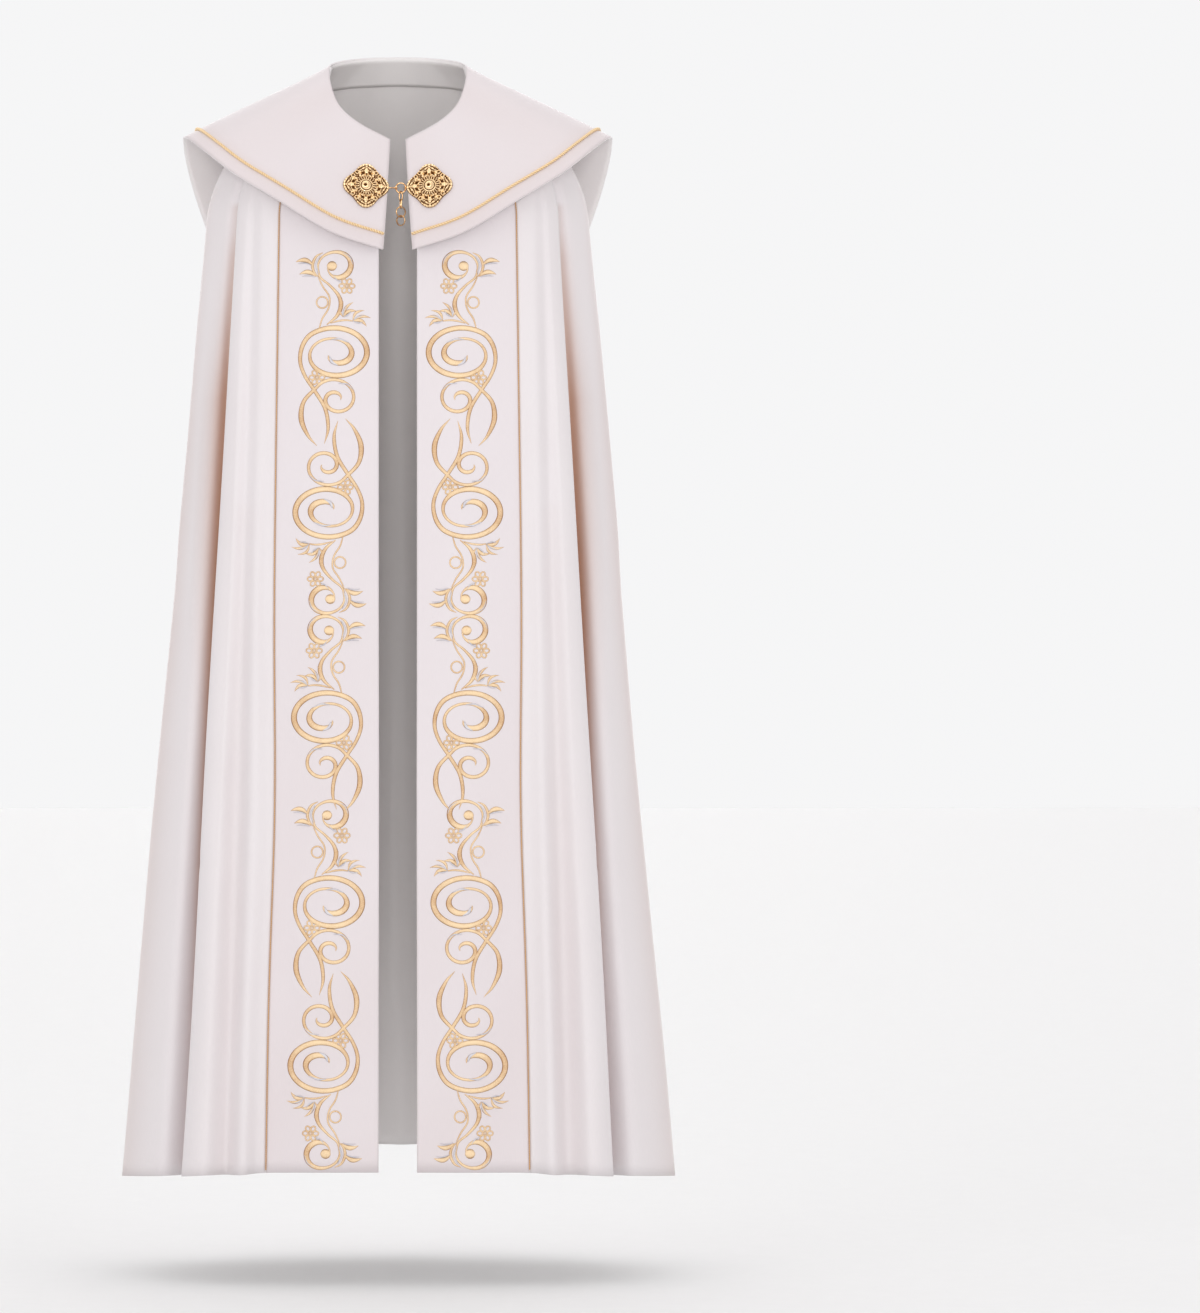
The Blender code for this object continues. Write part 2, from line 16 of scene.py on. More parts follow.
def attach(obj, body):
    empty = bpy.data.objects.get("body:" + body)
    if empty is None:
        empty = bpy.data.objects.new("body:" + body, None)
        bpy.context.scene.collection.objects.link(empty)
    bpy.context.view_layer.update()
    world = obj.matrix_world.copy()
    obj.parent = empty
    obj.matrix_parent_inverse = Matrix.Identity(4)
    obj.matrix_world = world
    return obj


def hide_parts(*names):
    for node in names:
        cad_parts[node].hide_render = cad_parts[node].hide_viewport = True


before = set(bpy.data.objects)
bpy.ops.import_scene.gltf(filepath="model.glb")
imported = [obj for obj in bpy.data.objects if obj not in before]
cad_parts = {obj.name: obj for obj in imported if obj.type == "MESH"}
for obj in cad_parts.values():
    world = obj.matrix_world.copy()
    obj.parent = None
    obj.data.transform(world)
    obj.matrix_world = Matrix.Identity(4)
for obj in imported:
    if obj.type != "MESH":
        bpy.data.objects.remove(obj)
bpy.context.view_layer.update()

MM = 0.001
X_AXIS, Y_AXIS, Z_AXIS = np.eye(3)


def held(values):
    """Values kept between 0 and 1."""
    return np.clip(values, 0.0, 1.0)


def bump(distance, width):
    """Smooth rise of 1 at no distance, gone at about twice the width."""
    return np.exp(-(distance / width) ** 2)


def linear(code):
    """Linear colour from an sRGB hex value."""
    shades = [int(code[at:at + 2], 16) / 255 for at in (1, 3, 5)]
    shades = [shade / 12.92 if shade <= 0.04045 else ((shade + 0.055) / 1.055) ** 2.4 for shade in shades]
    return (*shades, 1.0)


def feed(node, inputs):
    """Gives a node's inputs their values or links; a node among them stands for its first output."""
    for key, value in inputs.items():
        if isinstance(value, bpy.types.Node):
            value = value.outputs[0]
        if isinstance(value, bpy.types.NodeSocket):
            node.id_data.links.new(value, node.inputs[key])
        else:
            node.inputs[key].default_value = value


def add(tree, kind, inputs=None, **settings):
    """Adds a node with its settings and its inputs.  Its kind is the type's name less its first words,
    which say what sort of tree it belongs to."""
    sort = next(sort for sort in ("ShaderNode", "GeometryNode", "Node") if hasattr(bpy.types, sort + kind))
    made = tree.nodes.new(sort + kind)
    for key, value in settings.items():
        setattr(made, key, value)
    feed(made, inputs or {})
    return made


def show(name, data):
    """Puts a mesh, lamp or camera into the scene as an object."""
    made = bpy.data.objects.new(name, data)
    bpy.context.collection.objects.link(made)
    return made


# ---------------------------------------------------------------- camera, light and floor

CAMERA_DISTANCE = 9775.0
CAMERA_HEIGHT = -787.0
CAMERA_LENS = 200.0     # long lens, so that the folds keep their true proportions
CAMERA_FILM = 36.0
CAMERA_SHIFT = 0.154    # leaves empty floor on one side of the cope
FLOOR = -1612.0         # the wearer's soles
FLOOR_REACH = 30.0      # half the floor's width, in metres

BOX_TILT = -0.25        # how far the soft boxes look down, against 1 ahead
BOX_STRENGTH = 0.46
BOX_SPREAD = 45
FILL_TILT = -0.03
FILL_STRENGTH = 0.34
FILL_SPREAD = 9
OVERHEAD_STRENGTH = 0.64
OVERHEAD_SPREAD = 70
ROOM_STRENGTH = 0.60


def place_camera():
    """Camera straight ahead of the cope's front, level with its middle."""
    data = bpy.data.cameras.new("camera")
    data.lens = CAMERA_LENS
    data.sensor_fit = "VERTICAL"
    data.sensor_width = CAMERA_FILM
    data.sensor_height = CAMERA_FILM
    data.shift_x = CAMERA_SHIFT
    data.clip_end = 100.0
    camera = show("camera", data)
    camera.location = (0.0, -CAMERA_DISTANCE * MM, CAMERA_HEIGHT * MM)
    camera.rotation_euler = (math.radians(90), 0.0, 0.0)
    bpy.context.scene.camera = camera


def soft_box(name, ahead, strength, spread_angle):
    """A large soft box far off, as a broad sun: its light comes from one side, the same all over."""
    data = bpy.data.lights.new(name, "SUN")
    data.energy = strength
    data.angle = math.radians(spread_angle)
    lamp = show(name, data)
    lamp.location = tuple(-2.5 * value for value in ahead)
    lamp.rotation_euler = Vector(ahead).to_track_quat("-Z", "Y").to_euler()


def light_studio():
    """Two large soft boxes and a narrow fill in front, as many behind, and one box overhead, in a pale
    room.  The room is dim for the cloth, so that its folds keep their shade, and near white elsewhere."""
    world = bpy.data.worlds.new("studio")
    world.use_nodes = True
    tree = world.node_tree
    ray = add(tree, "LightPath")
    room = add(tree, "Background", {"Color": (1.0, 0.985, 0.975, 1.0), "Strength": ROOM_STRENGTH})
    paper = add(tree, "Background", {"Color": (0.92, 0.92, 0.925, 1.0), "Strength": 1.0})
    bright = add(tree, "Math", {0: ray.outputs["Is Camera Ray"], 1: ray.outputs["Is Glossy Ray"]},
                 operation="MAXIMUM")
    seen = add(tree, "MixShader", {0: bright, 1: room, 2: paper})
    feed(tree.nodes["World Output"], {"Surface": seen})
    bpy.context.scene.world = world
    bpy.context.scene.view_settings.view_transform = "Standard"
    for place, ahead, aside in (("front", 1.0, 0.70), ("back", -1.0, 0.34)):
        for side in (-1, 1):
            soft_box("box %s %d" % (place, side), (side * aside, ahead, BOX_TILT), BOX_STRENGTH, BOX_SPREAD)
        soft_box("fill " + place, (0.0, ahead, FILL_TILT), FILL_STRENGTH, FILL_SPREAD)
    soft_box("overhead", (0.0, 0.0, -1.0), OVERHEAD_STRENGTH, OVERHEAD_SPREAD)


def lay_floor(look):
    """Wide level floor, which is the backdrop too where it runs out of sight."""
    board = bmesh.new()
    bmesh.ops.create_grid(board, x_segments=8, y_segments=8, size=FLOOR_REACH)
    bmesh.ops.translate(board, verts=board.verts, vec=(0.0, 0.0, FLOOR * MM))
    mesh = bpy.data.meshes.new("floor")
    board.to_mesh(mesh)
    board.free()
    mesh.materials.append(look)
    show("floor", mesh)


# ---------------------------------------------------------------- named sizes (mm)
CLOTH = 1.6            # wall of the satin body
BAND = 2.0             # wall of the stiffened front bands
HOOD_WALL = 2.2        # wall of the stiffened hood
FACING = 1.0           # wall of the neck facing
GAP = 0.3              # clearance between touching pieces
NECK_GAP = 0.5         # clearance between the hood and the cloth at the neck seam
YOKE_Z = -204.0        # level where the folds start to hang straight

PIPING_INSET = 21.0    # from the hood's edge to its piping
BAND_PIPING_TOP = 0.72  # share of the dome above which the band piping is left out
BAND_PIPING_FOOT = 1.997  # it stops just above the hem, which is at 2
PIPING_END = 0.02      # columns that the hood's piping stops short of each front edge

PLATE_X = 42.0         # centre of each clasp plate from the middle
PLATE_DROP = 0.47      # share of the hood's depth down to the plates
PLATE_MEAN_RADIUS = 27.3
PLATE_LOBE = 3.7       # how far the four lobes swell past the mean radius
PLATE_BASE = 1.6       # plate thickness under the relief
PLATE_SEAT = 0.5       # clearance under the middle of a plate

RING_X = 4.0           # the clasp ring hangs a little to one side of the middle
RING_DROP = 3.0        # from the plates' tips down to the ring's centre
RING_RADIUS = 6.5      # clasp ring, to the middle of its wire
RING_WIRE = 0.8        # wire radius of the clasp ring
LINK_WIRE = 0.7        # wire radius of the hanging links
LINK_GAP = 0.6         # clearance where one link hangs on the next

# Neckline of one side, front to back: how far along it (0..1), then x, y, z.
NECKLINE = [
    ("front corner", 0.00, 10, -88, -100),
    ("front dip", 0.19, 52, -80, -77),
    ("front rise", 0.33, 76, -62, -55),
    ("side front", 0.43, 87, -40, -31),
    ("side", 0.56, 92, -2, -1),
    ("side back", 0.70, 84, 34, 12),
    ("back", 0.86, 46, 66, 20),
    ("back centre", 1.00, 0, 75, 22),
]

# Folds of one side, front edge to back centre.  Each row is one ridge or valley of the cloth: where it
# passes the yoke, where it meets the hem, the height at which its line bends over to the shoulder, and
# the place on the neckline where it ends.
#   name               yoke x  yoke y  hem x  hem y  hem z  turn z  neck
FOLDS = [
    ("front edge",         25,   -126,    25,  -222, -1463,   -170, 0.00),
    ("band middle",        92,   -125,    98,  -224, -1463,   -160, 0.20),
    ("band seam",         157,   -113,   173,  -212, -1464,   -136, 0.42),
    ("front ridge 1",     178,   -107,   204,  -225, -1466,   -120, 0.46),
    ("front dip",         191,    -98,   226,  -202, -1467,   -115, 0.485),
    ("front ridge 2",     202,    -93,   256,  -220, -1467,   -112, 0.505),
    ("front roll edge",   213,    -79,   285,  -190, -1470,   -108, 0.525),
    ("front undercut",    215,    -60,   266,  -118, -1472,   -105, 0.545),
    ("outer roll front",  231,    -52,   313,  -142, -1473,   -102, 0.57),
    ("outermost",         255,    -14,   369,   -62, -1478,    -94, 0.61),
    ("side valley",       245,     12,   296,     2, -1479,    -86, 0.64),
    ("side ridge",        249,     40,   358,    52, -1477,    -86, 0.67),
    ("outer roll back",   235,     70,   326,   126, -1472,    -86, 0.70),
    ("back undercut",     214,     78,   266,   104, -1468,    -84, 0.725),
    ("back roll edge",    209,    100,   289,   166, -1465,    -82, 0.75),
    ("back ridge 3",      190,    120,   226,   224, -1459,    -78, 0.79),
    ("back valley 3",     168,    122,   194,   196, -1460,    -75, 0.82),
    ("back ridge 2",      142,    139,   150,   236, -1458,    -70, 0.86),
    ("back step",         100,    136,   118,   206, -1459,    -65, 0.90),
    ("back ridge 1",       58,    150,    72,   262, -1456,    -62, 0.95),
    ("back centre",         0,    146,     0,   244, -1457,    -60, 1.00),
]
SEAM_ROW = 2           # row of FOLDS where the band meets the front panel
SIDE_ROW = 10          # row of FOLDS where the front cloth meets the back
FACING_ROW = 7         # row of FOLDS where the neck facing ends

# Rays of one side of the hood, front opening to back centre: a point halfway down, then one on the edge,
# and where the ray starts on the neckline.
#   name            mid x  mid y  mid z  edge x  edge y  edge z  neck
HOOD_RAYS = [
    ("opening",        14,  -127,  -178,     19,   -151,   -250, 0.00),
    ("front",          70,  -124,  -158,     89,   -151,   -226, 0.18),
    ("front side",    120,  -102,  -120,    161,   -135,   -182, 0.34),
    ("before tip",    152,   -76,   -88,    219,   -106,   -145, 0.44),
    ("near tip",      172,   -48,   -60,    255,    -74,   -116, 0.50),
    ("shoulder",      181,   -10,   -42,    283,    -24,    -93, 0.55),
    ("behind tip",    182,    26,   -40,    288,     20,    -98, 0.60),
    ("back 1",        176,    58,   -50,    283,     62,   -132, 0.66),
    ("back 2",        166,    86,   -62,    268,    100,   -184, 0.72),
    ("back 3",        150,   108,   -76,    242,    130,   -250, 0.78),
    ("back 4",        130,   126,   -90,    206,    152,   -300, 0.83),
    ("back 5",         95,   140,  -110,    150,    170,   -346, 0.89),
    ("back 6",         50,   150,  -128,     76,    182,   -384, 0.95),
    ("back centre",     0,   154,  -136,      0,    186,   -403, 1.00),
]

# Hanging end of the clasp chain, from the top: width and height outside, and turn about the upright axis.
LINKS = [
    ("chain_link_1", 8.8, 14.0, 58.0),
    ("chain_link_2", 8.0, 13.4, 105.0),
    ("chain_ring_1", 14.6, 15.0, 28.0),
    ("chain_ring_2", 14.0, 14.4, -32.0),
]

# Profile of the tassel's head below the cord: drop and radius.
TASSEL_HEAD = [
    ("cord hole", 0.0, 1.4),
    ("knob top", 1.2, 5.2),
    ("knob", 6.5, 7.9),
    ("knob foot", 11.5, 6.2),
    ("neck", 14.5, 4.8),
    ("bell top", 18.5, 7.0),
    ("bell", 28.0, 11.4),
    ("bell foot", 38.0, 11.2),
    ("band", 42.0, 11.8),
]
HEAD_HEIGHT = 46.0
CORD_LENGTH = 35.0
TASSEL_LEAN = math.radians(4.2)   # the tassel rests on the sloping back


# ---------------------------------------------------------------- curves and surfaces
# Each surface takes arrays of places across it and downs along it, one pair for each point.


def with_ends(rows):
    """An array's rows with one more at each end, so that a curve passes all of them."""
    return np.vstack([2 * rows[0] - rows[1], rows, 2 * rows[-1] - rows[-2]])


def net(table, columns, mirror):
    """Columns of a table as an array for a curve, which goes on past the last row as a mirror image."""
    rows = np.array([row[columns] for row in table], dtype=float)
    made = with_ends(rows)
    made[-1] = rows[-2] * mirror
    return made


def curve(points, places):
    """Points of the smooth curve through an array's rows; a whole number falls on a row."""
    step = np.clip(np.floor(places).astype(int), 0, len(points) - 4)
    t = (places - step)[:, None]
    p0, p1, p2, p3 = (points[step + ahead] for ahead in range(4))
    return 0.5 * (2 * p1 + (p2 - p0) * t + (2 * p0 - 5 * p1 + 4 * p2 - p3) * t * t
                  + (3 * p1 - p0 - 3 * p2 + p3) * t ** 3)


NECK_NET = net(NECKLINE, slice(2, 5), (-1, 1, 1))
NECK_PLACES = [row[1] for row in NECKLINE]
FOLD_NET = net(FOLDS, slice(1, 8), (-1, 1, -1, 1, 1, 1, 1))
HOOD_NET = net(HOOD_RAYS, slice(1, 8), (-1, 1, 1, -1, 1, 1, 1))
HOOD_NET[-1][5] = 2 * HOOD_NET[-2][5] - HOOD_NET[-3][5]   # its edge comes to a point at the centre back
FOLD_LAST = len(FOLDS) - 1
HOOD_LAST = len(HOOD_RAYS) - 1
HOOD_NECK_PLACES = [row[7] for row in HOOD_RAYS]
NEAR = 0.02             # step between points close by, in rows and in shares of the way down


def neckline(shares):
    """Points of the neckline, by the share of the way from the front corner to the back centre."""
    return curve(NECK_NET, np.interp(shares, NECK_PLACES, range(len(NECK_PLACES))))


def bend(start, turn, end, t):
    """Points of the curves that leave start towards turn and come to end from it."""
    return (1 - t) ** 2 * start + 2 * t * (1 - t) * turn + t * t * end


def on_side(points, places):
    """Mirrors points to the sides that the signs of their places stand for."""
    return points * np.where((places < 0)[:, None] & (X_AXIS > 0), -1.0, 1.0)


def run_along(points):
    """How far along a row of points each one lies."""
    return np.append(0.0, np.cumsum(np.linalg.norm(np.diff(points, axis=0), axis=1)))


def hood_point(places, downs):
    """Outer face of the hood: place runs from one front edge (-HOOD_LAST) to the other, down from 0 to 1."""
    rows = curve(HOOD_NET, HOOD_LAST - np.abs(places))
    start = neckline(np.minimum(rows[:, 6], 1.0))
    turn = 2 * rows[:, 0:3] - 0.5 * (start + rows[:, 3:6])
    return on_side(bend(start, turn, rows[:, 3:6], downs[:, None]), places)


def unit(vectors):
    """Vectors of length 1 with the same directions."""
    return vectors / np.linalg.norm(vectors, axis=-1, keepdims=True)


def normals(surface, places, downs):
    """Outward directions of a surface, from points close by."""
    along = surface(places + NEAR, downs) - surface(places - NEAR, downs)
    downward = surface(places, downs + NEAR) - surface(places, downs - NEAR)
    return unit(np.cross(along, downward))


def cloth_neck(shares):
    """Neck edge of the cloth, tucked under the neck edge of the hood."""
    places = HOOD_LAST - np.interp(shares, HOOD_NECK_PLACES, range(HOOD_LAST + 1))
    places = np.maximum(places, 0.001)
    out = normals(hood_point, places, np.full(len(places), 0.03))
    return neckline(shares) - out * (HOOD_WALL + NECK_GAP)


def cope_point(places, downs):
    """Outer face of the cloth: place runs from one front edge (-FOLD_LAST) to the other; down runs from
    0 at the neck to 1 at the yoke and 2 at the hem."""
    rows = curve(FOLD_NET, FOLD_LAST - np.abs(places))
    yoke = np.column_stack([rows[:, 0], rows[:, 1], np.full(len(places), YOKE_Z)])
    hem = rows[:, 2:5]
    rise = ((rows[:, 5] - YOKE_Z) / (YOKE_Z - rows[:, 4]))[:, None]
    turn = yoke + (yoke - hem) * rise
    down = downs[:, None]
    dome = bend(cloth_neck(np.minimum(rows[:, 6], 1.0)), turn, yoke, down)
    skirt = yoke + (hem - yoke) * (down - 1)
    return on_side(np.where(down >= 1, skirt, dome), places)


# ---------------------------------------------------------------- cloth

# Soft creases in the hanging cloth of one side.  Each runs between two spots on the cloth, given as a
# place counted in rows of FOLDS and a height z, and is so wide and so high; a valley's height is below 0.
#   name                 row    z      row    z     width  height
CREASES = [
    ("drag below band",   3.2, -900,   5.6, -1010,   16,   -1.0),
    ("drag in front",     3.0, -960,   6.0, -1075,   15,   -1.2),
    ("front low ridge",   4.9, -820,   5.2, -1462,   14,    1.0),
    ("inner roll line",   5.3, -380,   5.0, -1150,   15,   -1.4),
    ("outer roll line",   8.6, -330,   8.7, -1300,   18,   -1.6),
    ("outer roll ridge",  8.2, -420,   8.0, -1470,   14,    1.6),
    ("side pull",         9.4, -260,   8.9, -700,    18,    2.0),
    ("side slack",        9.6, -760,   9.2, -1474,   20,   -2.2),
    ("back side ridge",  11.5, -420,  11.6, -1474,   18,    1.8),
    ("back slack",       12.4, -560,  12.2, -1300,   18,   -1.6),
    ("back soft valley", 19.0, -700,  19.0, -1456,   34,   -1.2),
    ("back slant",       15.2, -780,  16.8, -1250,   30,   -0.9),
    ("low drag",          8.9, -1180,  7.7, -1270,    9,    0.9),
    ("low drag below",    9.0, -1235,  7.8, -1330,    9,    0.7),
]
CREASE_FADE = 45.0      # a crease dies away over this length past each end
CREASE_WAVER = 0.06     # and wavers by this share of a row
CREASE_HEM = -1440      # one that reaches lower than this runs on into the hem


def crease_shape(rows, heights):
    """Height of the soft creases above the plain folds, for points given by row and height z."""
    raised = np.zeros(len(rows))
    for _, first_row, top, last_row, foot, width, height in CREASES:
        run = held((heights - top) / (foot - top))
        line = first_row + (last_row - first_row) * run + CREASE_WAVER * np.sin(7.0 * run + top)
        off = (rows - line) * ROW_WIDTHS[line.astype(int).clip(0, FOLD_LAST - 1)] / width
        past = np.maximum(np.maximum(heights - top, foot - heights), 0.0) / CREASE_FADE
        fade = held(np.minimum(run, 1 - run + (foot < CREASE_HEM)) * 6.0)
        raised += height * fade * np.exp(-off ** 2 - past ** 2)
    return raised


HALFWAY = 1.5           # way down the cloth, of 2 at the hem


def row_widths():
    """Width of cloth between neighbouring rows of FOLDS, about halfway down."""
    places = FOLD_LAST - np.arange(FOLD_LAST + 1.0)
    points = cope_point(places, np.full(len(places), HALFWAY))
    return np.linalg.norm(np.diff(points, axis=0), axis=1)


ROW_WIDTHS = row_widths()
SEAM_PUCKER = 0.7       # the cloth sinks this far where two pieces are sewn
SEAM_WIDTH = 2.2
SEAM_BOW = 5.0          # the band's seam bends this far towards the front edge, low on the skirt
BOW_LEVEL = -985
BOW_REACH = 185
BOW_ROWS = 1.3
STIFF_ROWS = 1.6        # rows from the front edge that the stiff band keeps free of creases
STIFF_FADE = 0.8
SLACK_FROM = 0.75       # way down the cloth at which it begins to hang loose
SLACK_FADE = 0.45
# Slow sway of the hanging cloth, and ripples of the stiff bands.  Each wave is its height, then for each of
# its sines how fast it runs down the cloth, over the rows and by side, and where it starts.
SWAYS = [(1.1, (0.0051, 0.9, 0.8, 0.0)), (0.8, (-0.0083, 1.9, -1.1, 0.0))]
RIPPLES = [(0.7, (0.019, 1.3, 1.0, 0.0), (0.0071, 0.0, 0.0, 2.0)),
           (0.35, (0.055, -2.6, 0.0, 0.0), (0.013, 3.1, 1.0, 0.0))]


def waves(table, level, rows, side):
    """Height of a table's waves together, for points given by height z, row and side."""
    total = 0.0
    for height, *sines in table:
        for by_level, by_row, by_side, start in sines:
            height = height * np.sin(by_level * level + by_row * rows + by_side * side + start)
        total = total + height
    return total


def cloth_point(places, downs):
    """Outer face of the hanging cloth with its soft creases, its slow sway and its sunk seams."""
    base = cope_point(places, downs)
    out = normals(cope_point, np.clip(places, -FOLD_LAST, FOLD_LAST), downs)
    rows = FOLD_LAST - np.abs(places)
    side = np.sign(places)
    level = base[:, 2].copy()
    hanging = held((downs - SLACK_FROM) / SLACK_FADE)
    off_band = held((rows - STIFF_ROWS) / STIFF_FADE)
    raised = (crease_shape(rows, level) + waves(SWAYS, level, rows, side)) * off_band
    raised += waves(RIPPLES, level, rows, side) * (1 - off_band)
    base[:, 0] -= side * (SEAM_BOW * bump(level - BOW_LEVEL, BOW_REACH) * bump(rows - SEAM_ROW, BOW_ROWS))
    for row in (SEAM_ROW, SIDE_ROW):
        raised -= SEAM_PUCKER * bump((rows - row) * ROW_WIDTHS[row], SEAM_WIDTH)
    return base + out * (raised * hanging)[:, None]


def grid(places, downs):
    """All pairs of places and downs, one row of points after another."""
    return np.tile(places, len(downs)), np.repeat(downs, len(places))


def mesh_object(name, points, faces, look, uvs=None, **marks):
    """Mesh piece from points in millimetres; uvs and marks hold one value for each point."""
    mesh = bpy.data.meshes.new(name)
    mesh.from_pydata((np.asarray(points) * MM).tolist(), [], [list(face) for face in faces])
    mesh.shade_smooth()
    if uvs is not None:
        corners = np.zeros(len(mesh.loops), dtype=np.int32)
        mesh.loops.foreach_get("vertex_index", corners)
        layer = mesh.uv_layers.new(name="UVMap")
        layer.data.foreach_set("uv", np.asarray(uvs, dtype=np.float32)[corners].ravel())
    for key, values in marks.items():
        mark = mesh.attributes.new(key, "FLOAT", "POINT")
        mark.data.foreach_set("value", np.asarray(values, dtype=np.float32))
    mesh.materials.append(look)
    return show(name, mesh)


# Painted warm shade in the hollows between two folds and along the cloth's outer edge.  Each row is one spot
# down a
# hollow: its height z, the row of FOLDS where it is deepest, how many rows it reaches ahead and behind, how
# strong.
PAINTED_SHADE_SPOTS = {
    "front roll": [
        (-215, 7.1, 0.3, 0.45, 0.20), (-256, 7.1, 0.3, 0.55, 0.45), (-444, 7.3, 0.5, 0.70, 0.85),
        (-658, 7.3, 0.6, 0.58, 0.92), (-872, 7.25, 0.6, 0.38, 1.00), (-1113, 7.2, 0.6, 0.27, 1.00),
        (-1355, 7.1, 0.5, 0.20, 0.80), (-1470, 7.1, 0.5, 0.17, 0.65),
    ],
    "outer edge": [
        (-190, 9.0, 0.3, 0.5, 0.10), (-600, 9.0, 0.4, 0.5, 0.20), (-1000, 9.0, 0.45, 0.5, 0.22),
        (-1470, 9.0, 0.45, 0.5, 0.20),
    ],
    "back roll": [
        (-250, 13.0, 0.4, 0.4, 0.10), (-330, 13.0, 0.5, 0.4, 0.35), (-470, 12.9, 0.50, 0.5, 0.50),
        (-604, 12.8, 0.45, 0.5, 0.80), (-765, 12.8, 0.42, 0.5, 0.95), (-1087, 12.8, 0.34, 0.5, 1.00),
        (-1380, 12.8, 0.26, 0.5, 0.90), (-1470, 12.8, 0.22, 0.5, 0.60),
    ],
    "back valley": [
        (-420, 16.0, 0.7, 0.7, 0.04), (-760, 16.0, 0.7, 0.7, 0.07), (-1400, 16.0, 0.7, 0.7, 0.10),
    ],
    "back step": [
        (-330, 18.1, 0.6, 0.5, 0.10), (-604, 18.1, 0.6, 0.5, 0.08), (-1000, 18.1, 0.7, 0.5, 0.12),
        (-1400, 18.1, 0.8, 0.5, 0.14),
    ],
    "back middle": [
        (-600, 20.0, 0.5, 0.5, 0.02), (-1000, 20.0, 0.7, 0.5, 0.10), (-1400, 20.0, 0.8, 0.5, 0.12),
    ],
    "front dip": [(-620, 4.0, 0.9, 0.9, 0.03), (-1100, 4.0, 0.9, 0.9, 0.06), (-1400, 4.0, 0.9, 0.9, 0.05)],
}
HOLLOW_START = 30       # painted shade starts this far above a hollow's first spot


def painted_fold_shade(places, downs):
    """Painted warm shade: 0 where the cloth lies open, up to 1 deep in a hollow."""
    rows = FOLD_LAST - np.abs(places)
    heights = cope_point(places, downs)[:, 2]
    shade_amount = np.zeros(len(places))
    for spots in PAINTED_SHADE_SPOTS.values():
        table = np.array(spots[::-1], dtype=float)
        deepest, ahead, behind, strength = (np.interp(heights, table[:, 0], table[:, k]) for k in range(1, 5))
        off = rows - deepest
        glow = strength * bump(off, np.where(off < 0, ahead, behind))
        shade_amount = np.maximum(shade_amount, glow * (heights < spots[0][0] + HOLLOW_START))
    return shade_amount


def painted_band_shade(places, downs):
    """Painted shade on the bands: warmer towards their foot, where they lean back a little more, in soft
    patches.
    """
    heights = cope_point(places, downs)[:, 2]
    foot = held((-heights - 500) / 900)
    patches = 0.5 + 0.5 * np.sin(0.013 * heights + 2.0 * np.sin(0.0047 * heights) + 1.7 * places)
    return foot * (0.05 + 0.02 * patches) + 0.015 * patches


def painted_hood_shade(places, downs):
    """Painted shade on the hood's front, which slopes away from the light: a little warmer, most of all below
    its piping and along soft dent lines that run down from the neck."""
    share = np.abs(places) / HOOD_LAST
    front = held((share - 0.45) / 0.2)
    border = held((downs - 0.80) / 0.08)
    painted_dent_shade = 0.5 + 0.5 * np.sin(26 * share + 2.2 * downs)
    return front * (0.05 + 0.05 * border + 0.04 * painted_dent_shade * held(1.2 - downs))


def cloth_wall(name, surface, places, downs, thickness, look, lift=0.0, trim=0.0, shade=None):
    """Closed wall of cloth: its outer face lies on the surface (or lift off it), its inner face one
    thickness inside.  trim pulls the first and last column back along the surface, and shade says how
    much painted warm shade each spot gets."""
    across, deep = len(places), len(downs)
    at_places, at_downs = grid(places, downs)
    points = surface(at_places, at_downs)
    forward = unit(surface(at_places + NEAR, at_downs) - surface(at_places - NEAR, at_downs))
    pull = np.zeros(across)
    pull[0] = trim
    pull[-1] = -trim
    points = points + forward * np.tile(pull, deep)[:, None]
    out = normals(surface, at_places, at_downs)
    outer, inner = points + out * lift, points + out * (lift - thickness)
    half = across * deep
    corner = (np.arange(deep - 1)[:, None] * across + np.arange(across - 1)).ravel()
    front = np.column_stack([corner, corner + 1, corner + across + 1, corner + across])
    spots = np.arange(half).reshape(deep, across)
    border = [*spots[0], *spots[1:, -1], *spots[-1, -2::-1], *spots[-2:0:-1, 0]]
    rim = [(second, first, half + first, half + second)
           for first, second in zip(border, border[1:] + border[:1])]
    faces = np.vstack([front, half + front[:, ::-1], rim])
    sheet = outer.reshape(deep, across, 3)
    steps = [np.linalg.norm(np.diff(sheet, axis=axis), axis=2).mean(axis=1 - axis) for axis in (1, 0)]
    along, fall = (np.append(0.0, np.cumsum(lengths)) for lengths in steps)
    uvs = np.column_stack([np.tile(along, deep), np.repeat(-fall, across)]) * MM
    # The mark fold paints warm shade on the outer face; the inner face gets none.
    fold = shade(at_places, at_downs) if shade else np.zeros(half)
    return mesh_object(name, np.vstack([outer, inner]), faces, look, np.vstack([uvs, uvs]),
                       fold=np.append(fold, np.zeros(half)), inside=np.repeat([0.0, 1.0], half))


# ---------------------------------------------------------------- materials
# The scale of a noise is the number of its cells along a metre.


def finish_of(name, roughness, metallic=0.0, **sockets):
    """New material whose shader holds the values that are the same all over its surface.  Returns it with
    its node tree, its shader and the node of its coordinates."""
    made = bpy.data.materials.new(name)
    made.use_nodes = True
    tree = made.node_tree
    shader = tree.nodes["Principled BSDF"]
    values = {key.replace("_", " "): value for key, value in sockets.items()}
    feed(shader, {"Roughness": roughness, "Metallic": metallic, **values})
    return made, tree, shader, add(tree, "TexCoord")


def coat(shader, amount, first, second, height=None, strength=0.0, depth=0.0):
    """Colours a shader from a first to a second hex value by an amount, and raises its surface by a height
    that is so strong and so deep, in metres."""
    tree = shader.id_data
    colour = add(tree, "Mix", {"Factor": amount, "A": linear(first), "B": linear(second)}, data_type="RGBA")
    feed(shader, {"Base Color": colour.outputs[2]})
    if height:
        raised = add(tree, "Bump", {"Height": height, "Strength": strength, "Distance": depth})
        feed(shader, {"Normal": raised})


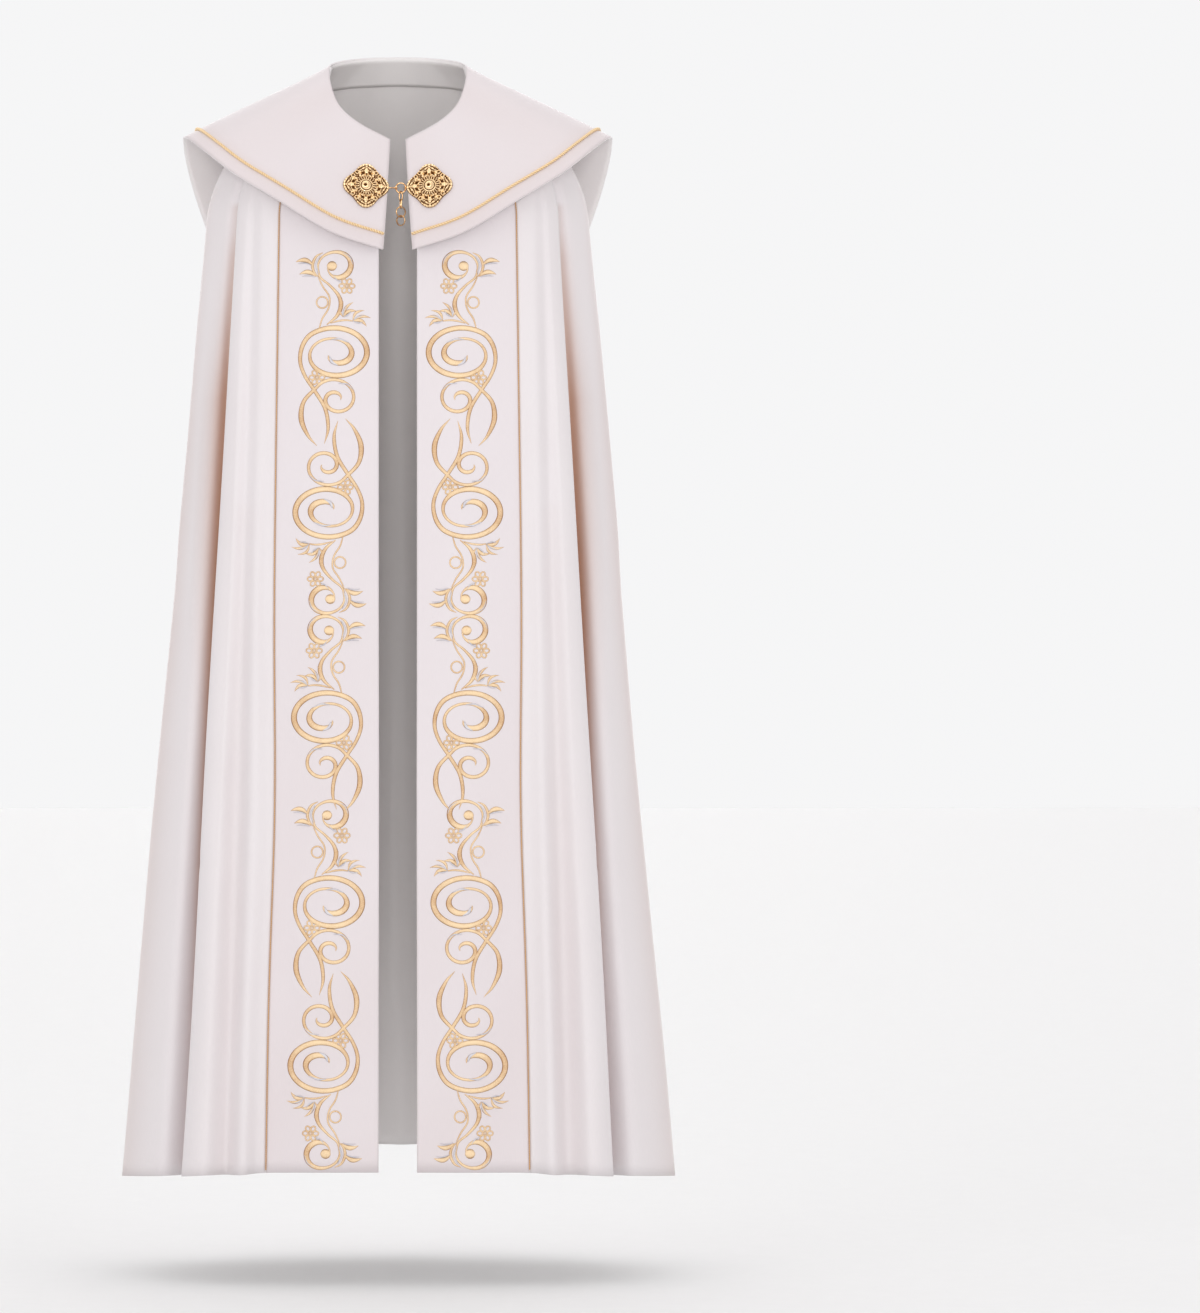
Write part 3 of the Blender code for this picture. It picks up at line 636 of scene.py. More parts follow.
def satin(name, pale, warm, streak, roughness, lining="#fbf7f6"):
    """Duchess satin of fine polyester, woven with long floats and pressed: a calm, silky glow with faint
    streaks down the warp, painted warm shade in the hollows between two folds, and a lining on the inside
    painted whiter, which lightens its shade."""
    made, tree, shader, spot = finish_of(name, roughness, Specular_IOR_Level=0.42, Sheen_Weight=0.12,
                                         Sheen_Roughness=0.35)
    # Warp floats are 0.08 mm wide; drawn at about 0.7 mm, because finer ones would not show.
    threads = add(tree, "Mapping", {"Vector": spot.outputs["UV"], "Scale": (1400.0, 90.0, 1.0)})
    floats = add(tree, "TexNoise", {"Vector": threads, "Scale": 1.0, "Detail": 2.0})
    # Slow unevenness of the dye and the pressing, in clouds 140 mm across with finer ones in them.
    cloud = add(tree, "TexNoise", {"Vector": spot.outputs["Object"], "Scale": 7.0, "Detail": 3.0})
    # The attribute fold paints warm shade in the hollows; inside paints the lining whiter, which lightens the
    # shade inside.
    fold, inside = (add(tree, "Attribute", attribute_name=mark) for mark in ("fold", "inside"))
    colour = linear(pale)
    for amount, other in ((cloud, streak), (fold.outputs["Fac"], warm), (inside.outputs["Fac"], lining)):
        mixed = add(tree, "Mix", {"Factor": amount, "A": colour, "B": linear(other)}, data_type="RGBA")
        colour = mixed.outputs[2]
    lines = add(tree, "MapRange", {"Value": floats, "To Min": 0.965, "To Max": 1.02})
    lined = add(tree, "VectorMath", {0: colour, 1: lines}, operation="MULTIPLY")
    raised = add(tree, "Bump", {"Height": floats, "Strength": 0.12, "Distance": 0.0003})
    feed(shader, {"Base Color": lined, "Normal": raised})
    return made


def stitched_thread(name, bright, deep, metallic):
    """Metallised rayon in padded satin stitch: threads laid side by side across each stroke, bright on its
    crown, with painted ochre shade at its edges, where they go into the cloth.  Threads that lie level,
    across an upright stroke, throw less of the light back, and this is painted in as a darker colour."""
    made, tree, shader, spot = finish_of(name, 0.42, metallic, Specular_IOR_Level=0.6)
    stroke = add(tree, "SeparateXYZ", {"Vector": add(tree, "UVMap", uv_map="UVMap")})
    off_crown = add(tree, "Math", {0: stroke.outputs["Y"], 1: 0.5}, operation="SUBTRACT")
    edge = add(tree, "Math", {0: off_crown}, operation="ABSOLUTE")
    # Painted shade: ochre towards the stroke's edges.
    painted_edge_shade = add(tree, "MapRange", {"Value": edge, "From Min": 0.24, "From Max": 0.5, "To Max": 0.55})
    # Threads are 0.35 mm apart; drawn 0.9 mm apart, because finer ones would not show.
    slant = add(tree, "Math", {0: off_crown, 1: 0.0022}, operation="MULTIPLY")
    lay = add(tree, "Math", {0: stroke.outputs["X"], 1: slant}, operation="ADD")
    turns = add(tree, "Math", {0: lay, 1: 2 * math.pi / 0.0009}, operation="MULTIPLY")
    ridges = add(tree, "Math", {0: turns}, operation="SINE")
    fibres = add(tree, "TexNoise", {"Vector": spot.outputs["Object"], "Scale": 900.0})
    patch = add(tree, "TexNoise", {"Vector": spot.outputs["Object"], "Scale": 60.0})
    # Painted shade where threads lie level across an upright stroke, and on thin strokes.
    painted_lie_shade = add(tree, "Attribute", attribute_name="level")
    shade = painted_edge_shade
    for part, weight in ((ridges, -0.12), (patch, 0.7), (painted_lie_shade.outputs["Fac"], 0.42), (fibres, 0.9)):
        shade = add(tree, "Math", {0: part, 1: weight, 2: shade}, operation="MULTIPLY_ADD")
    level = add(tree, "Math", {0: shade, 1: 0.79}, operation="SUBTRACT", use_clamp=True)
    height = add(tree, "Math", {0: fibres, 1: 0.6, 2: ridges}, operation="MULTIPLY_ADD")
    coat(shader, level, bright, deep, height, 0.35, 0.00012)
    return made


def twisted_yarn(name, bright, deep, metallic):
    """Gold yarn of fine metal strip wound on silk: glints on each ply, painted ochre shade in the hollows
    between them.  The attribute hollow is 0 on a ply's crown and 1 where two plies meet."""
    made, tree, shader, spot = finish_of(name, 0.4, metallic, Specular_IOR_Level=0.6)
    hollow = add(tree, "Attribute", attribute_name="hollow")
    # Strips are 0.3 mm wide; the fibres' cells are 0.7 mm, with finer ones in them.
    fibres = add(tree, "TexNoise", {"Vector": spot.outputs["Object"], "Scale": 1500.0, "Detail": 2.0})
    worn = add(tree, "MapRange", {"Value": fibres, "From Min": 0.3, "From Max": 0.7, "To Min": -0.2,
                                  "To Max": 0.2})
    # Painted shade in the hollows, broken up a little by the fibres.
    level = add(tree, "Math", {0: hollow.outputs["Fac"], 1: worn}, operation="ADD", use_clamp=True)
    coat(shader, level, bright, deep, fibres, 0.3, 0.0001)
    return made


def cast_gilt():
    """Cast brass, gilded and antiqued: bright gold on the high relief, brown lacquer left in the hollows, and
    painted shade and painted highlights over the relief.  The attribute high is 0 in the hollows and 1 on
    the highest relief."""
    made, tree, shader, spot = finish_of("cast gilt brass", 0.3, 1.0)
    high = add(tree, "Attribute", attribute_name="high")
    # Sand of the mould, 1.4 mm and finer.
    sand = add(tree, "TexNoise", {"Vector": spot.outputs["Object"], "Scale": 700.0, "Detail": 3.0})
    # Brown lacquer and painted shade in the hollows, painted highlight on the high relief, speckled by the
    # sand.
    sand_lacquer_and_shade = add(tree, "Math", {0: sand, 1: 0.35, 2: high.outputs["Fac"]}, operation="MULTIPLY_ADD")
    lacquer_and_painted_shade = add(tree, "MapRange", {"Value": sand_lacquer_and_shade, "From Min": 0.3, "From Max": 0.72})
    dull = add(tree, "MapRange", {"Value": lacquer_and_painted_shade, "To Min": 0.6, "To Max": 0.24})
    coat(shader, lacquer_and_painted_shade, "#6b401c", "#fbdcae", sand, 0.25, 0.0002)
    feed(shader, {"Roughness": dull})
    return made


def polished_wire():
    """Gilt brass wire, drawn and tumbled bright, with a little brown where links rub."""
    made, tree, shader, spot = finish_of("gilt brass wire", 0.24, 1.0)
    rub = add(tree, "TexNoise", {"Vector": spot.outputs["Object"], "Scale": 260.0, "Detail": 2.0})
    patches = add(tree, "MapRange", {"Value": rub, "From Min": 0.35, "From Max": 0.6})
    coat(shader, patches, "#a9703a", "#f0c896")
    return made


def studio_floor():
    """Matt painted board, pale, with a faint mottle from the roller."""
    made, tree, shader, spot = finish_of("painted board", 0.8, Specular_IOR_Level=0.2)
    mottle = add(tree, "TexNoise", {"Vector": spot.outputs["Object"], "Scale": 40.0})
    coat(shader, mottle, "#f2f2f3", "#efeff0")
    return made


# ---------------------------------------------------------------- the sewn pieces


def spread(first, last, parts):
    """Evenly spaced values from the first to the last, both among them."""
    return first + (last - first) * np.arange(parts + 1) / parts


def settle(piece, slot, *nodes, body="garment"):
    """Gives a finished piece its body and hides the solids that it stands for; its finish slot is not used.
    """
    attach(piece, body)
    if nodes:
        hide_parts(*nodes)


FOLD_COLUMNS = 12       # points across between two rows of FOLDS
BAND_COLUMNS = 22       # as many on the front bands
FACING_COLUMNS = 4
HOOD_COLUMNS = 9        # points across between two rays of the hood
HOOD_ROWS = 44
FACING_DEPTH = 0.2      # share of the dome down to which the neck facing reaches
DOWNS = np.append(spread(0.0, 1.0, 26), spread(1.0, 2.0, 74)[1:])


def hang_cloth(name, first, last, columns, wall, look, shade, slot, *nodes):
    """One piece of the hanging cloth, between two rows counted from the back centre."""
    places = np.sort(spread(first, last, abs(last - first) * columns))
    made = cloth_wall(name, cloth_point, places, DOWNS, wall, look, trim=GAP / 2, shade=shade)
    settle(made, slot, *nodes)
    return made


def sew_cloth(body_satin, band_satin):
    """The cope's cloth: a back, two front panels and two bands, edge to edge at their seams, and the
    facing of the neck."""
    side = FOLD_LAST - SIDE_ROW
    seam = FOLD_LAST - SEAM_ROW
    made = {"back": hang_cloth("cope_back", -side, side, FOLD_COLUMNS, CLOTH, body_satin, painted_fold_shade,
                               "body_satin", "back_panel", "back_side_left", "back_side_right",
                               "shoulder_back")}
    for name, sign in (("right", -1), ("left", 1)):
        solids = [part + name for part in ("front_panel_", "side_panel_", "shoulder_")]
        made["front_" + name] = hang_cloth("front_" + name, sign * side, sign * seam, FOLD_COLUMNS, CLOTH,
                                           body_satin, painted_fold_shade, "body_satin", *solids)
        made["band_" + name] = hang_cloth("band_" + name, sign * seam, sign * FOLD_LAST, BAND_COLUMNS, BAND,
                                          band_satin, painted_band_shade, "band_satin", "orphrey_" + name)
    reach = FOLD_LAST - FACING_ROW
    made["facing"] = cloth_wall("neck_facing_cloth", cloth_point,
                                spread(-reach, reach, 2 * reach * FACING_COLUMNS),
                                spread(0.0, FACING_DEPTH, 8), FACING, band_satin, lift=-CLOTH - 2 * GAP)
    settle(made["facing"], "facing_satin", "neck_facing")
    return made


def sew_hood(look):
    """The stiff hood round the shoulders."""
    places = spread(-HOOD_LAST, HOOD_LAST, 2 * HOOD_LAST * HOOD_COLUMNS)
    made = cloth_wall("shoulder_hood", hood_point, places, spread(0.0, 1.0, HOOD_ROWS), HOOD_WALL, look,
                      shade=painted_hood_shade)
    settle(made, "band_satin", "hood")
    return made


# ---------------------------------------------------------------- embroidery
# Scrollwork is drawn flat as strokes: rows of across, down and width.  Each stroke is then laid on the
# cloth as a crowned ribbon of satin stitch.

STITCH_STEP = 1.5       # length of ribbon between two cross-sections
CROWN = (-0.05, 0.72, 1.0, 0.72, -0.05)     # shape of a stroke's back, from edge to edge
CROSS_PLACES = (-1.0, -0.55, 0.0, 0.55, 1.0)
THREAD = 0.3            # height of the narrowest stroke
THICKEST = 0.95         # height of a padded one
PADDING = 0.085         # rise in height for each millimetre of width
ROOT = 0.3              # a stroke reaches this far into the cloth
NARROWEST = 0.5
THIN = 3.6              # strokes narrower than this begin to be painted darker
THIN_FADE = 1.6         # and are darkest when so much narrower
THIN_SHADE = 0.6
BROAD = 6.0             # a stroke this broad shows in full how its threads lie
SILVER_LIFT = 0.55      # silver grey thread lies over the gold
SIGHT = 0.9             # metres from which strokes are pressed on to the cloth


def blend_rows(values, count):
    """Smooth run of count rows through a short list of rows."""
    rows = np.array(values, dtype=float).reshape(len(values), -1)
    return curve(with_ends(rows), np.linspace(0.0, len(rows) - 1, count))


def flow(*rows):
    """Stroke through rows of across, down and width, with sections evenly along it."""
    fine = blend_rows(rows, 24 * len(rows))
    run = run_along(fine[:, :2])
    count = max(int(run[-1] / STITCH_STEP), 4)
    even = np.linspace(0.0, run[-1], count + 1)
    made = np.column_stack([np.interp(even, run, fine[:, column]) for column in range(3)])
    made[:, 2] = np.maximum(made[:, 2], NARROWEST)
    return made


def scroll(centre, squash, start, turns, radii, widths, count=18):
    """Rows of a spiral.  It starts at an angle in degrees (0 right, 90 below) and runs so many turns."""
    angles = np.radians(start) + np.linspace(0.0, turns * 2 * math.pi, count)
    reach = blend_rows(radii, count)[:, 0]
    across = centre[0] + reach * np.cos(angles)
    down = centre[1] + reach * np.sin(angles) * squash
    return list(map(tuple, np.column_stack([across, down, blend_rows(widths, count)[:, 0]])))


def ring(centre, radius, width, squash=1.0, turn=0.0):
    """Closed loop of thread; squash narrows it across the direction turn."""
    angles = np.linspace(0.0, 2 * math.pi, 17)
    along, across = radius * np.cos(angles), radius * squash * np.sin(angles)
    lean = math.radians(turn)
    x = centre[0] + along * math.cos(lean) - across * math.sin(lean)
    y = centre[1] + along * math.sin(lean) + across * math.cos(lean)
    return flow(*zip(x, y, np.full(17, width)))


def dot(centre, radius):
    """Round ball of padded stitches."""
    reach = np.linspace(-0.98, 0.98, 9)
    return flow(*[(centre[0] + radius * x, centre[1], 2 * radius * math.sqrt(1 - x * x)) for x in reach])


def leaf(base, angle, length, width, bow=0.12):
    """Pointed leaf that bows to one side."""
    lean = math.radians(angle)
    ahead = np.array([math.cos(lean), math.sin(lean)])
    side = np.array([-ahead[1], ahead[0]])
    rows = []
    for run, swell in ((0.0, 0.15), (0.3, 0.85), (0.55, 1.0), (0.8, 0.6), (1.0, 0.05)):
        place = np.array(base) + ahead * length * run + side * length * bow * math.sin(math.pi * run)
        rows.append((*place, width * swell))
    return flow(*rows)


def flower(centre, radius):
    """Six open petals of thread round a small eye."""
    made = [ring(centre, 0.15 * radius, 1.5)]
    for petal in range(6):
        angle = 60 * petal
        reach = 0.62 * radius
        middle = (centre[0] + reach * math.cos(math.radians(angle)),
                  centre[1] + reach * math.sin(math.radians(angle)))
        made.append(ring(middle, 0.33 * radius, 2.2, squash=0.80, turn=angle))
    return made


def bud(base, angle, size):
    """Opening bud of three sepals, as gold strokes and the silver ones in their shade."""
    sepals = ((-36, 0.95, 3.9, -0.25), (-4, 1.1, 4.2, -0.16), (28, 0.9, 5.2, -0.22))
    gold = [leaf(base, angle + turn, size * share, width, bow) for turn, share, width, bow in sepals]
    silver = [leaf(base, angle - 20, size * 0.75, 1.9, bow=-0.1), leaf(base, angle + 12, size * 0.65, 1.8)]
    return gold, silver


def scroll_unit():
    """One unit of the bands' scrollwork, 93 wide and 260 long, as gold strokes and silver strokes."""
    tail = [(-7, 259, 0.6), (-2, 238, 4.6), (-6, 212, 5.4), (-20, 188, 5.2), (-33, 168, 5.0),
            (-39.5, 149, 5.4), (-37.5, 130, 6.2)]
    great = scroll((5, 137), 0.74, 222, 1.79, (45, 45.5, 42, 31, 25, 23, 8),
                   (6.8, 8.0, 8.0, 4.4, 4.2, 9.0, 1.0), 28)
    sweep = [(-17, 262, 0.6), (-29, 248, 4.4), (-38, 226, 7.4), (-35, 203, 5.8)]
    small = scroll((9, 198), 0.90, 205, 1.5, (32, 25, 21, 15, 8, 6), (4.8, 4.4, 5.2, 5.8, 5.2, 0.8), 22)
    top = scroll((5, 22), 0.90, 200, -1.09, (6, 10, 19, 25, 22, 21), (3.4, 2.6, 8.2, 7.0, 3.8, 3.2), 20)
    stem = [(-12, 36, 3.0), (0, 46, 3.4), (12, 60, 5.0), (15, 74, 6.4), (9, 88, 4.6), (-4, 99, 1.4)]
    vine = [(-15, 36, 1.6), (-9, 48, 2.4), (-1, 60, 2.4), (0, 70, 2.4), (-3, 80, 2.4), (-10, 91, 2.4),
            (-14, 104, 1.6)]
    crescent = [(-9, 2, 0.8), (-18, 7, 3.2), (-23, 18, 4.2), (-21, 28, 3.2), (-14, 36, 1.0)]
    shoot = [(1, 97, 1.2), (12, 94, 2.6), (22, 93, 2.6), (31, 94, 1.8)]
    gold = [flow(*tail, *great), flow(*sweep, *small), flow(*top, *stem), dot((3, 20), 6.8), flow(*vine),
            flow(*crescent), ring((-10, 69), 7.6, 2.3), leaf((-22, 19), 192, 24, 6.6, bow=0.2),
            leaf((-18, 34), 188, 23, 6.6, bow=0.2), flow(*shoot)]
    shade = [[(2, 119, 0.8), (13, 118.5, 2.6), (25, 123, 0.8)],
             [(0, 142, 1.2), (3, 149, 4.2), (11, 154, 1.2)],
             [(12, 178, 0.8), (23, 179, 2.0), (31, 186, 0.8)],
             [(18, 2, 0.6), (27, 8, 1.6), (31, 18, 0.6)],
             [(5, 33, 0.6), (10, 39, 1.8), (17, 42, 0.6)]]
    silver = [flow((-13, 7, 0.8), (-18, 18, 2.6), (-15, 30, 0.8)), leaf((-24, 19), 188, 18, 1.8, bow=0.1),
              leaf((-20, 35), 184, 17, 1.8, bow=0.1)] + [flow(*rows) for rows in shade]
    gold += flower((23, 47), 11.2) + flower((-17, 170), 11.0)
    for base, angle in (((18, 89), -52), ((31, 94), -6)):
        more_gold, more_silver = bud(base, angle, 22)
        gold += more_gold
        silver += more_silver
    return gold, silver


UNIT_LENGTH = 260.0
UNIT_SCALE = 0.985
# Units down each band: height of the top, whether it is turned end for end, whether it is mirrored, and
# how far its middle is from the cope's.
UNITS = [(-251, False, False, 90), (-475, True, False, 86), (-733, False, True, 87.5),
         (-976, False, False, 96), (-1202, True, False, 91.7)]


def press(strokes, cloth, sight, place, raise_by, points, faces, uvs, marks):
    """Lays strokes on the cloth and adds what they are made of to the lists of points, faces, UVs and
    marks.  place turns flat across and down into x and z, and sight is the direction along which they are
    pressed on to the cloth.  A mark of painted shade tells how far the threads lie level, across an upright
    stroke; a thin stroke, which has no crown, is painted as dark."""
    size = len(CROWN) + 1
    for stroke in strokes:
        ahead = unit(np.gradient(stroke[:, :2], axis=0))
        side = np.column_stack([-ahead[:, 1], ahead[:, 0]])
        run = run_along(stroke[:, :2])
        above = None
        for number, (across, down, width) in enumerate(stroke):
            section = []
            high = min(THICKEST, THREAD + PADDING * width)
            for crown, offset in zip(CROWN, CROSS_PLACES):
                x, z = place(*(np.array([across, down]) + side[number] * offset * width / 2))
                hit, out, _, _ = cloth.ray_cast((x * MM, -sight * SIGHT, z * MM), (0, sight, 0))
                if hit is None:
                    break
                section.append(np.array(hit) / MM + np.array(out) * (high * crown + raise_by))
            if len(section) < len(CROWN):
                above = None
                continue
            first = len(points)
            points += [*section, section[2] - np.array(out) * (high + raise_by + ROOT)]
            uvs += [(run[number] * MM, (offset + 1) / 2) for offset in (*CROSS_PLACES, 0.0)]
            # Painted shade: level threads across an upright stroke, and thin strokes, are painted darker.
            thin = THIN_SHADE * min(max((THIN - width) / THIN_FADE, 0.0), 1.0)
            marks += [max(ahead[number, 1] ** 2 * min(width / BROAD, 1.0), thin)] * size
            if above is None:
                faces.append(tuple(first + k for k in range(size)))
            else:
                faces += [(above + k, above + (k + 1) % size, first + (k + 1) % size, first + k)
                          for k in range(size)]
            above = first
            if number == len(stroke) - 1:
                faces.append(tuple(first + k for k in reversed(range(size))))


def outward(piece):
    """Turns every face of a closed mesh outward."""
    shape = bmesh.new()
    shape.from_mesh(piece.data)
    bmesh.ops.recalc_face_normals(shape, faces=shape.faces)
    shape.to_mesh(piece.data)
    shape.free()
    return piece


def embroider(name, look, slot, sheet, sight, raise_by, motifs):
    """Piece of thread on a finished sheet.  Each motif is its strokes and the function that places them."""
    mesh = sheet.data
    cloth = BVHTree.FromPolygons([vertex.co for vertex in mesh.vertices],
                                 [tuple(face.vertices) for face in mesh.polygons])
    points, faces, uvs, marks = [], [], [], []
    for strokes, place in motifs:
        press(strokes, cloth, sight, place, raise_by, points, faces, uvs, marks)
    piece = outward(mesh_object(name, points, faces, look, uvs, level=marks))
    settle(piece, slot)
    return piece


def band_place(sign, top, turned, mirrored, middle):
    """Function that places a unit of scrollwork on a band, turned end for end or mirrored or both."""
    def place(across, down):
        """Place in x and z of a spot of the unit."""
        if turned:
            across, down = -across, UNIT_LENGTH - down
        across = -across if mirrored else across
        return sign * (middle - across * UNIT_SCALE), top - down * UNIT_SCALE

    return place


def embroider_band(name, sign, band, gold_look, silver_look):
    """Scrollwork of one front band, its gold and its silver grey thread."""
    gold, silver = scroll_unit()
    return [embroider("scrollwork_%s_%s" % (name, kind), look, kind + "_thread", band, 1.0, raise_by,
                      [(strokes, band_place(sign, *row)) for row in UNITS])
            for kind, strokes, look, raise_by in (("gold", gold, gold_look, 0.0),
                                                  ("silver", silver, silver_look, SILVER_LIFT))]


BACK_MIDDLE = -118.0    # height of the crossing of the hood's cross


def hood_cross():
    """Flared cross with rays, between two leafy branches, as gold strokes; across and down from the
    crossing."""
    gold = [flow((0, -98, 30), (0, -90, 21), (0, -74, 15), (0, -30, 14), (0, 40, 14), (0, 122, 15),
                 (0, 144, 21), (0, 154, 31)),
            flow((-70, 0, 30), (-62, 0, 21), (-48, 0, 15), (0, 0, 14), (48, 0, 15), (62, 0, 21),
                 (70, 0, 30)),
            ring((0, 0), 21, 4.6)]
    for ray in range(16):
        angle = 22.5 * ray + 11.25
        ahead = (math.cos(math.radians(angle)), math.sin(math.radians(angle)))
        near, far = 27, (52 if ray % 4 in (1, 2) else 41)
        gold.append(flow((ahead[0] * near, ahead[1] * near, 2.4),
                         (ahead[0] * (near + far) / 2, ahead[1] * (near + far) / 2, 1.8),
                         (ahead[0] * far, ahead[1] * far, 0.6)))
    for side in (-1, 1):
        branch = [(5, 170, 2.6), (32, 152, 3.2), (60, 122, 3.4), (79, 84, 3.2), (87, 46, 2.8), (84, 14, 1.6)]
        gold.append(flow(*[(side * x, y, width) for x, y, width in branch]))
        spots = blend_rows(branch, 60)
        for number, at in enumerate(range(6, 58, 6)):
            ahead = spots[at + 1] - spots[at - 1]
            angle = math.degrees(math.atan2(ahead[1], ahead[0]))
            for turn in (-42, 42):
                lean = angle + turn if side > 0 else 180 - angle - turn
                gold.append(leaf((side * spots[at][0], spots[at][1]), lean, 24 - 0.8 * number,
                                 8.8 - 0.3 * number, bow=0.1 * math.copysign(1, turn) * side))
        gold.append(leaf((side * 84, 16), -95 if side > 0 else -85, 24, 8.0))
        gold += flower((side * 50, -50), 13.0)
    return gold


def embroider_hood(hood, look):
    """The cross and its branches on the back of the hood."""
    return embroider("hood_cross_gold", look, "gold_thread", hood, -1.0, 0.0,
                     [(hood_cross(), lambda across, down: (-across, BACK_MIDDLE - down))])


# ---------------------------------------------------------------- twisted cords and wires


CORD_SIZES = ("Ply radius", "Ply offset", "Pitch", "Step")


def cord_nodes(plies, sides):
    """Node tree that turns each chain of edges into a cord of twisted plies, or a plain wire if there is
    one ply.  The source's point attribute thick scales the plies, and the attribute hollow that it leaves
    is 0 on a ply's crown and 1 where plies meet.  Returns the tree and its inputs' identifiers."""
    tree = bpy.data.node_groups.new("twisted cord of %d" % plies, "GeometryNodeTree")
    sockets = {}
    floats = [(name, "Float") for name in CORD_SIZES]
    for name, kind in (("Geometry", "Geometry"), *floats, ("Finish", "Material")):
        sockets[name] = tree.interface.new_socket(name=name, in_out="INPUT",
                                                  socket_type="NodeSocket" + kind).identifier
    tree.interface.new_socket(name="Geometry", in_out="OUTPUT", socket_type="NodeSocketGeometry")
    given = add(tree, "GroupInput")
    line = add(tree, "MeshToCurve", {"Mesh": given})
    even = add(tree, "ResampleCurve", {"Curve": line, "Length": given.outputs["Step"]}, mode="LENGTH")
    axis = add(tree, "CaptureAttribute")
    axis.capture_items.new("VECTOR", "Axis")
    place = add(tree, "InputPosition")
    feed(axis, {0: even, 1: place})
    thick = add(tree, "InputNamedAttribute", {"Name": "thick"}, data_type="FLOAT")
    run = add(tree, "SplineParameter")
    ahead, side = (add(tree, "Input" + kind) for kind in ("Tangent", "Normal"))
    other = add(tree, "VectorMath", {0: ahead, 1: side}, operation="CROSS_PRODUCT")
    turns = add(tree, "Math", {0: run.outputs["Length"], 1: given.outputs["Pitch"]}, operation="DIVIDE")
    reach, girth = (add(tree, "Math", {0: thick, 1: given.outputs[name]}, operation="MULTIPLY")
                    for name in ("Ply offset", "Ply radius"))
    joined = add(tree, "JoinGeometry")
    for ply in range(plies):
        lead = add(tree, "Math", {0: turns, 1: 2 * math.pi, 2: 2 * math.pi * ply / plies},
                   operation="MULTIPLY_ADD")
        parts = []
        for direction, wave in ((side, "COSINE"), (other, "SINE")):
            share = add(tree, "Math", {0: lead}, operation=wave)
            parts.append(add(tree, "VectorMath", {0: direction, "Scale": share}, operation="SCALE"))
        round_axis = add(tree, "VectorMath", {0: parts[0], 1: parts[1]}, operation="ADD")
        shift = add(tree, "VectorMath", {0: round_axis, "Scale": reach}, operation="SCALE")
        moved = add(tree, "SetPosition", {"Geometry": axis, "Offset": shift})
        sized = add(tree, "SetCurveRadius", {"Curve": moved, "Radius": girth})
        outline = add(tree, "CurvePrimitiveCircle", {"Resolution": sides, "Radius": 1.0})
        swept = add(tree, "CurveToMesh", {"Curve": sized, "Profile Curve": outline,
                                          "Scale": girth, "Fill Caps": True})
        feed(joined, {"Geometry": swept})
    off = add(tree, "VectorMath", {0: place, 1: axis.outputs[1]}, operation="DISTANCE")
    deepest = add(tree, "Math", {0: reach, 1: girth}, operation="SUBTRACT")
    highest = add(tree, "Math", {0: reach, 1: girth}, operation="ADD")
    hollow = add(tree, "MapRange", {"Value": off.outputs["Value"], "From Min": highest,
                                    "From Max": deepest})
    marked = add(tree, "StoreNamedAttribute", {"Geometry": joined, "Name": "hollow", "Value": hollow},
                 data_type="FLOAT", domain="POINT")
    smooth = add(tree, "SetShadeSmooth", {"Geometry": marked})
    finish = add(tree, "SetMaterial", {"Geometry": smooth, "Material": given.outputs["Finish"]})
    real = add(tree, "RealizeInstances", {"Geometry": finish})
    add(tree, "GroupOutput", {"Geometry": real})
    return tree, sockets


def grow(name, chains, nodes, sizes, look):
    """Mesh piece that a node tree grows from chains of points, with sizes in the order of CORD_SIZES, all
    in millimetres.  Each chain is its points, how thick it is, and whether it closes on itself."""
    points, edges, thick = [], [], []
    for chain, width, closed in chains:
        first = len(points)
        points += [tuple(np.asarray(point) * MM) for point in chain]
        thick += [width] * len(chain)
        edges += [(first + k, first + k + 1) for k in range(len(chain) - 1)]
        if closed:
            edges.append((len(points) - 1, first))
    line = bpy.data.meshes.new(name + " line")
    line.from_pydata(points, edges, [])
    line.attributes.new("thick", "FLOAT", "POINT").data.foreach_set("value", thick)
    source = show(name + " line", line)
    tree, sockets = nodes
    growth = source.modifiers.new("growth", "NODES")
    growth.node_group = tree
    for key, size in zip(CORD_SIZES, sizes):
        growth[sockets[key]] = size * MM
    growth[sockets["Finish"]] = look
    mesh = bpy.data.meshes.new_from_object(source.evaluated_get(bpy.context.evaluated_depsgraph_get()))
    mesh.name = name
    source.modifiers.clear()
    bpy.data.objects.remove(source)
    return show(name, mesh)


# Twist of each cord: radius of a ply, how far its middle is from the cord's, length of one turn, and the
# step between sections.
HOOD_PIPING_SHAPE = (1.18, 1.02, 7.5, 0.9)
BAND_PIPING_SHAPE = (0.50, 0.38, 5.0, 0.9)
HOOD_PIPING_LIFT = 1.6          # from the cloth to the cord's middle
BAND_PIPING_LIFT = 1.2
HOOD_PIPING_STEPS = 520
BAND_PIPING_STEPS = 240


def hood_piping_line(lift):
    """Line of the piping, a set distance in from the hood's edge."""
    reach = HOOD_LAST - PIPING_END
    places = spread(-reach, reach, HOOD_PIPING_STEPS)
    downs = np.linspace(1.0, 0.6, 90)
    at_places, at_downs = grid(places, downs)
    points = hood_point(at_places, at_downs).reshape(len(downs), len(places), 3)
    inset = np.linalg.norm(points - points[0], axis=2)
    level = np.array([np.interp(PIPING_INSET, inset[:, column], downs) for column in range(len(places))])
    return hood_point(places, level) + normals(hood_point, places, level) * lift


def band_piping_line(sign, lift):
    """Line of the piping, down the seam between a band and the front of the cope."""
    places = np.full(BAND_PIPING_STEPS, float(sign * (FOLD_LAST - SEAM_ROW)))
    downs = np.linspace(BAND_PIPING_TOP, BAND_PIPING_FOOT, BAND_PIPING_STEPS)
    return cloth_point(places, downs) + normals(cloth_point, places, downs) * lift


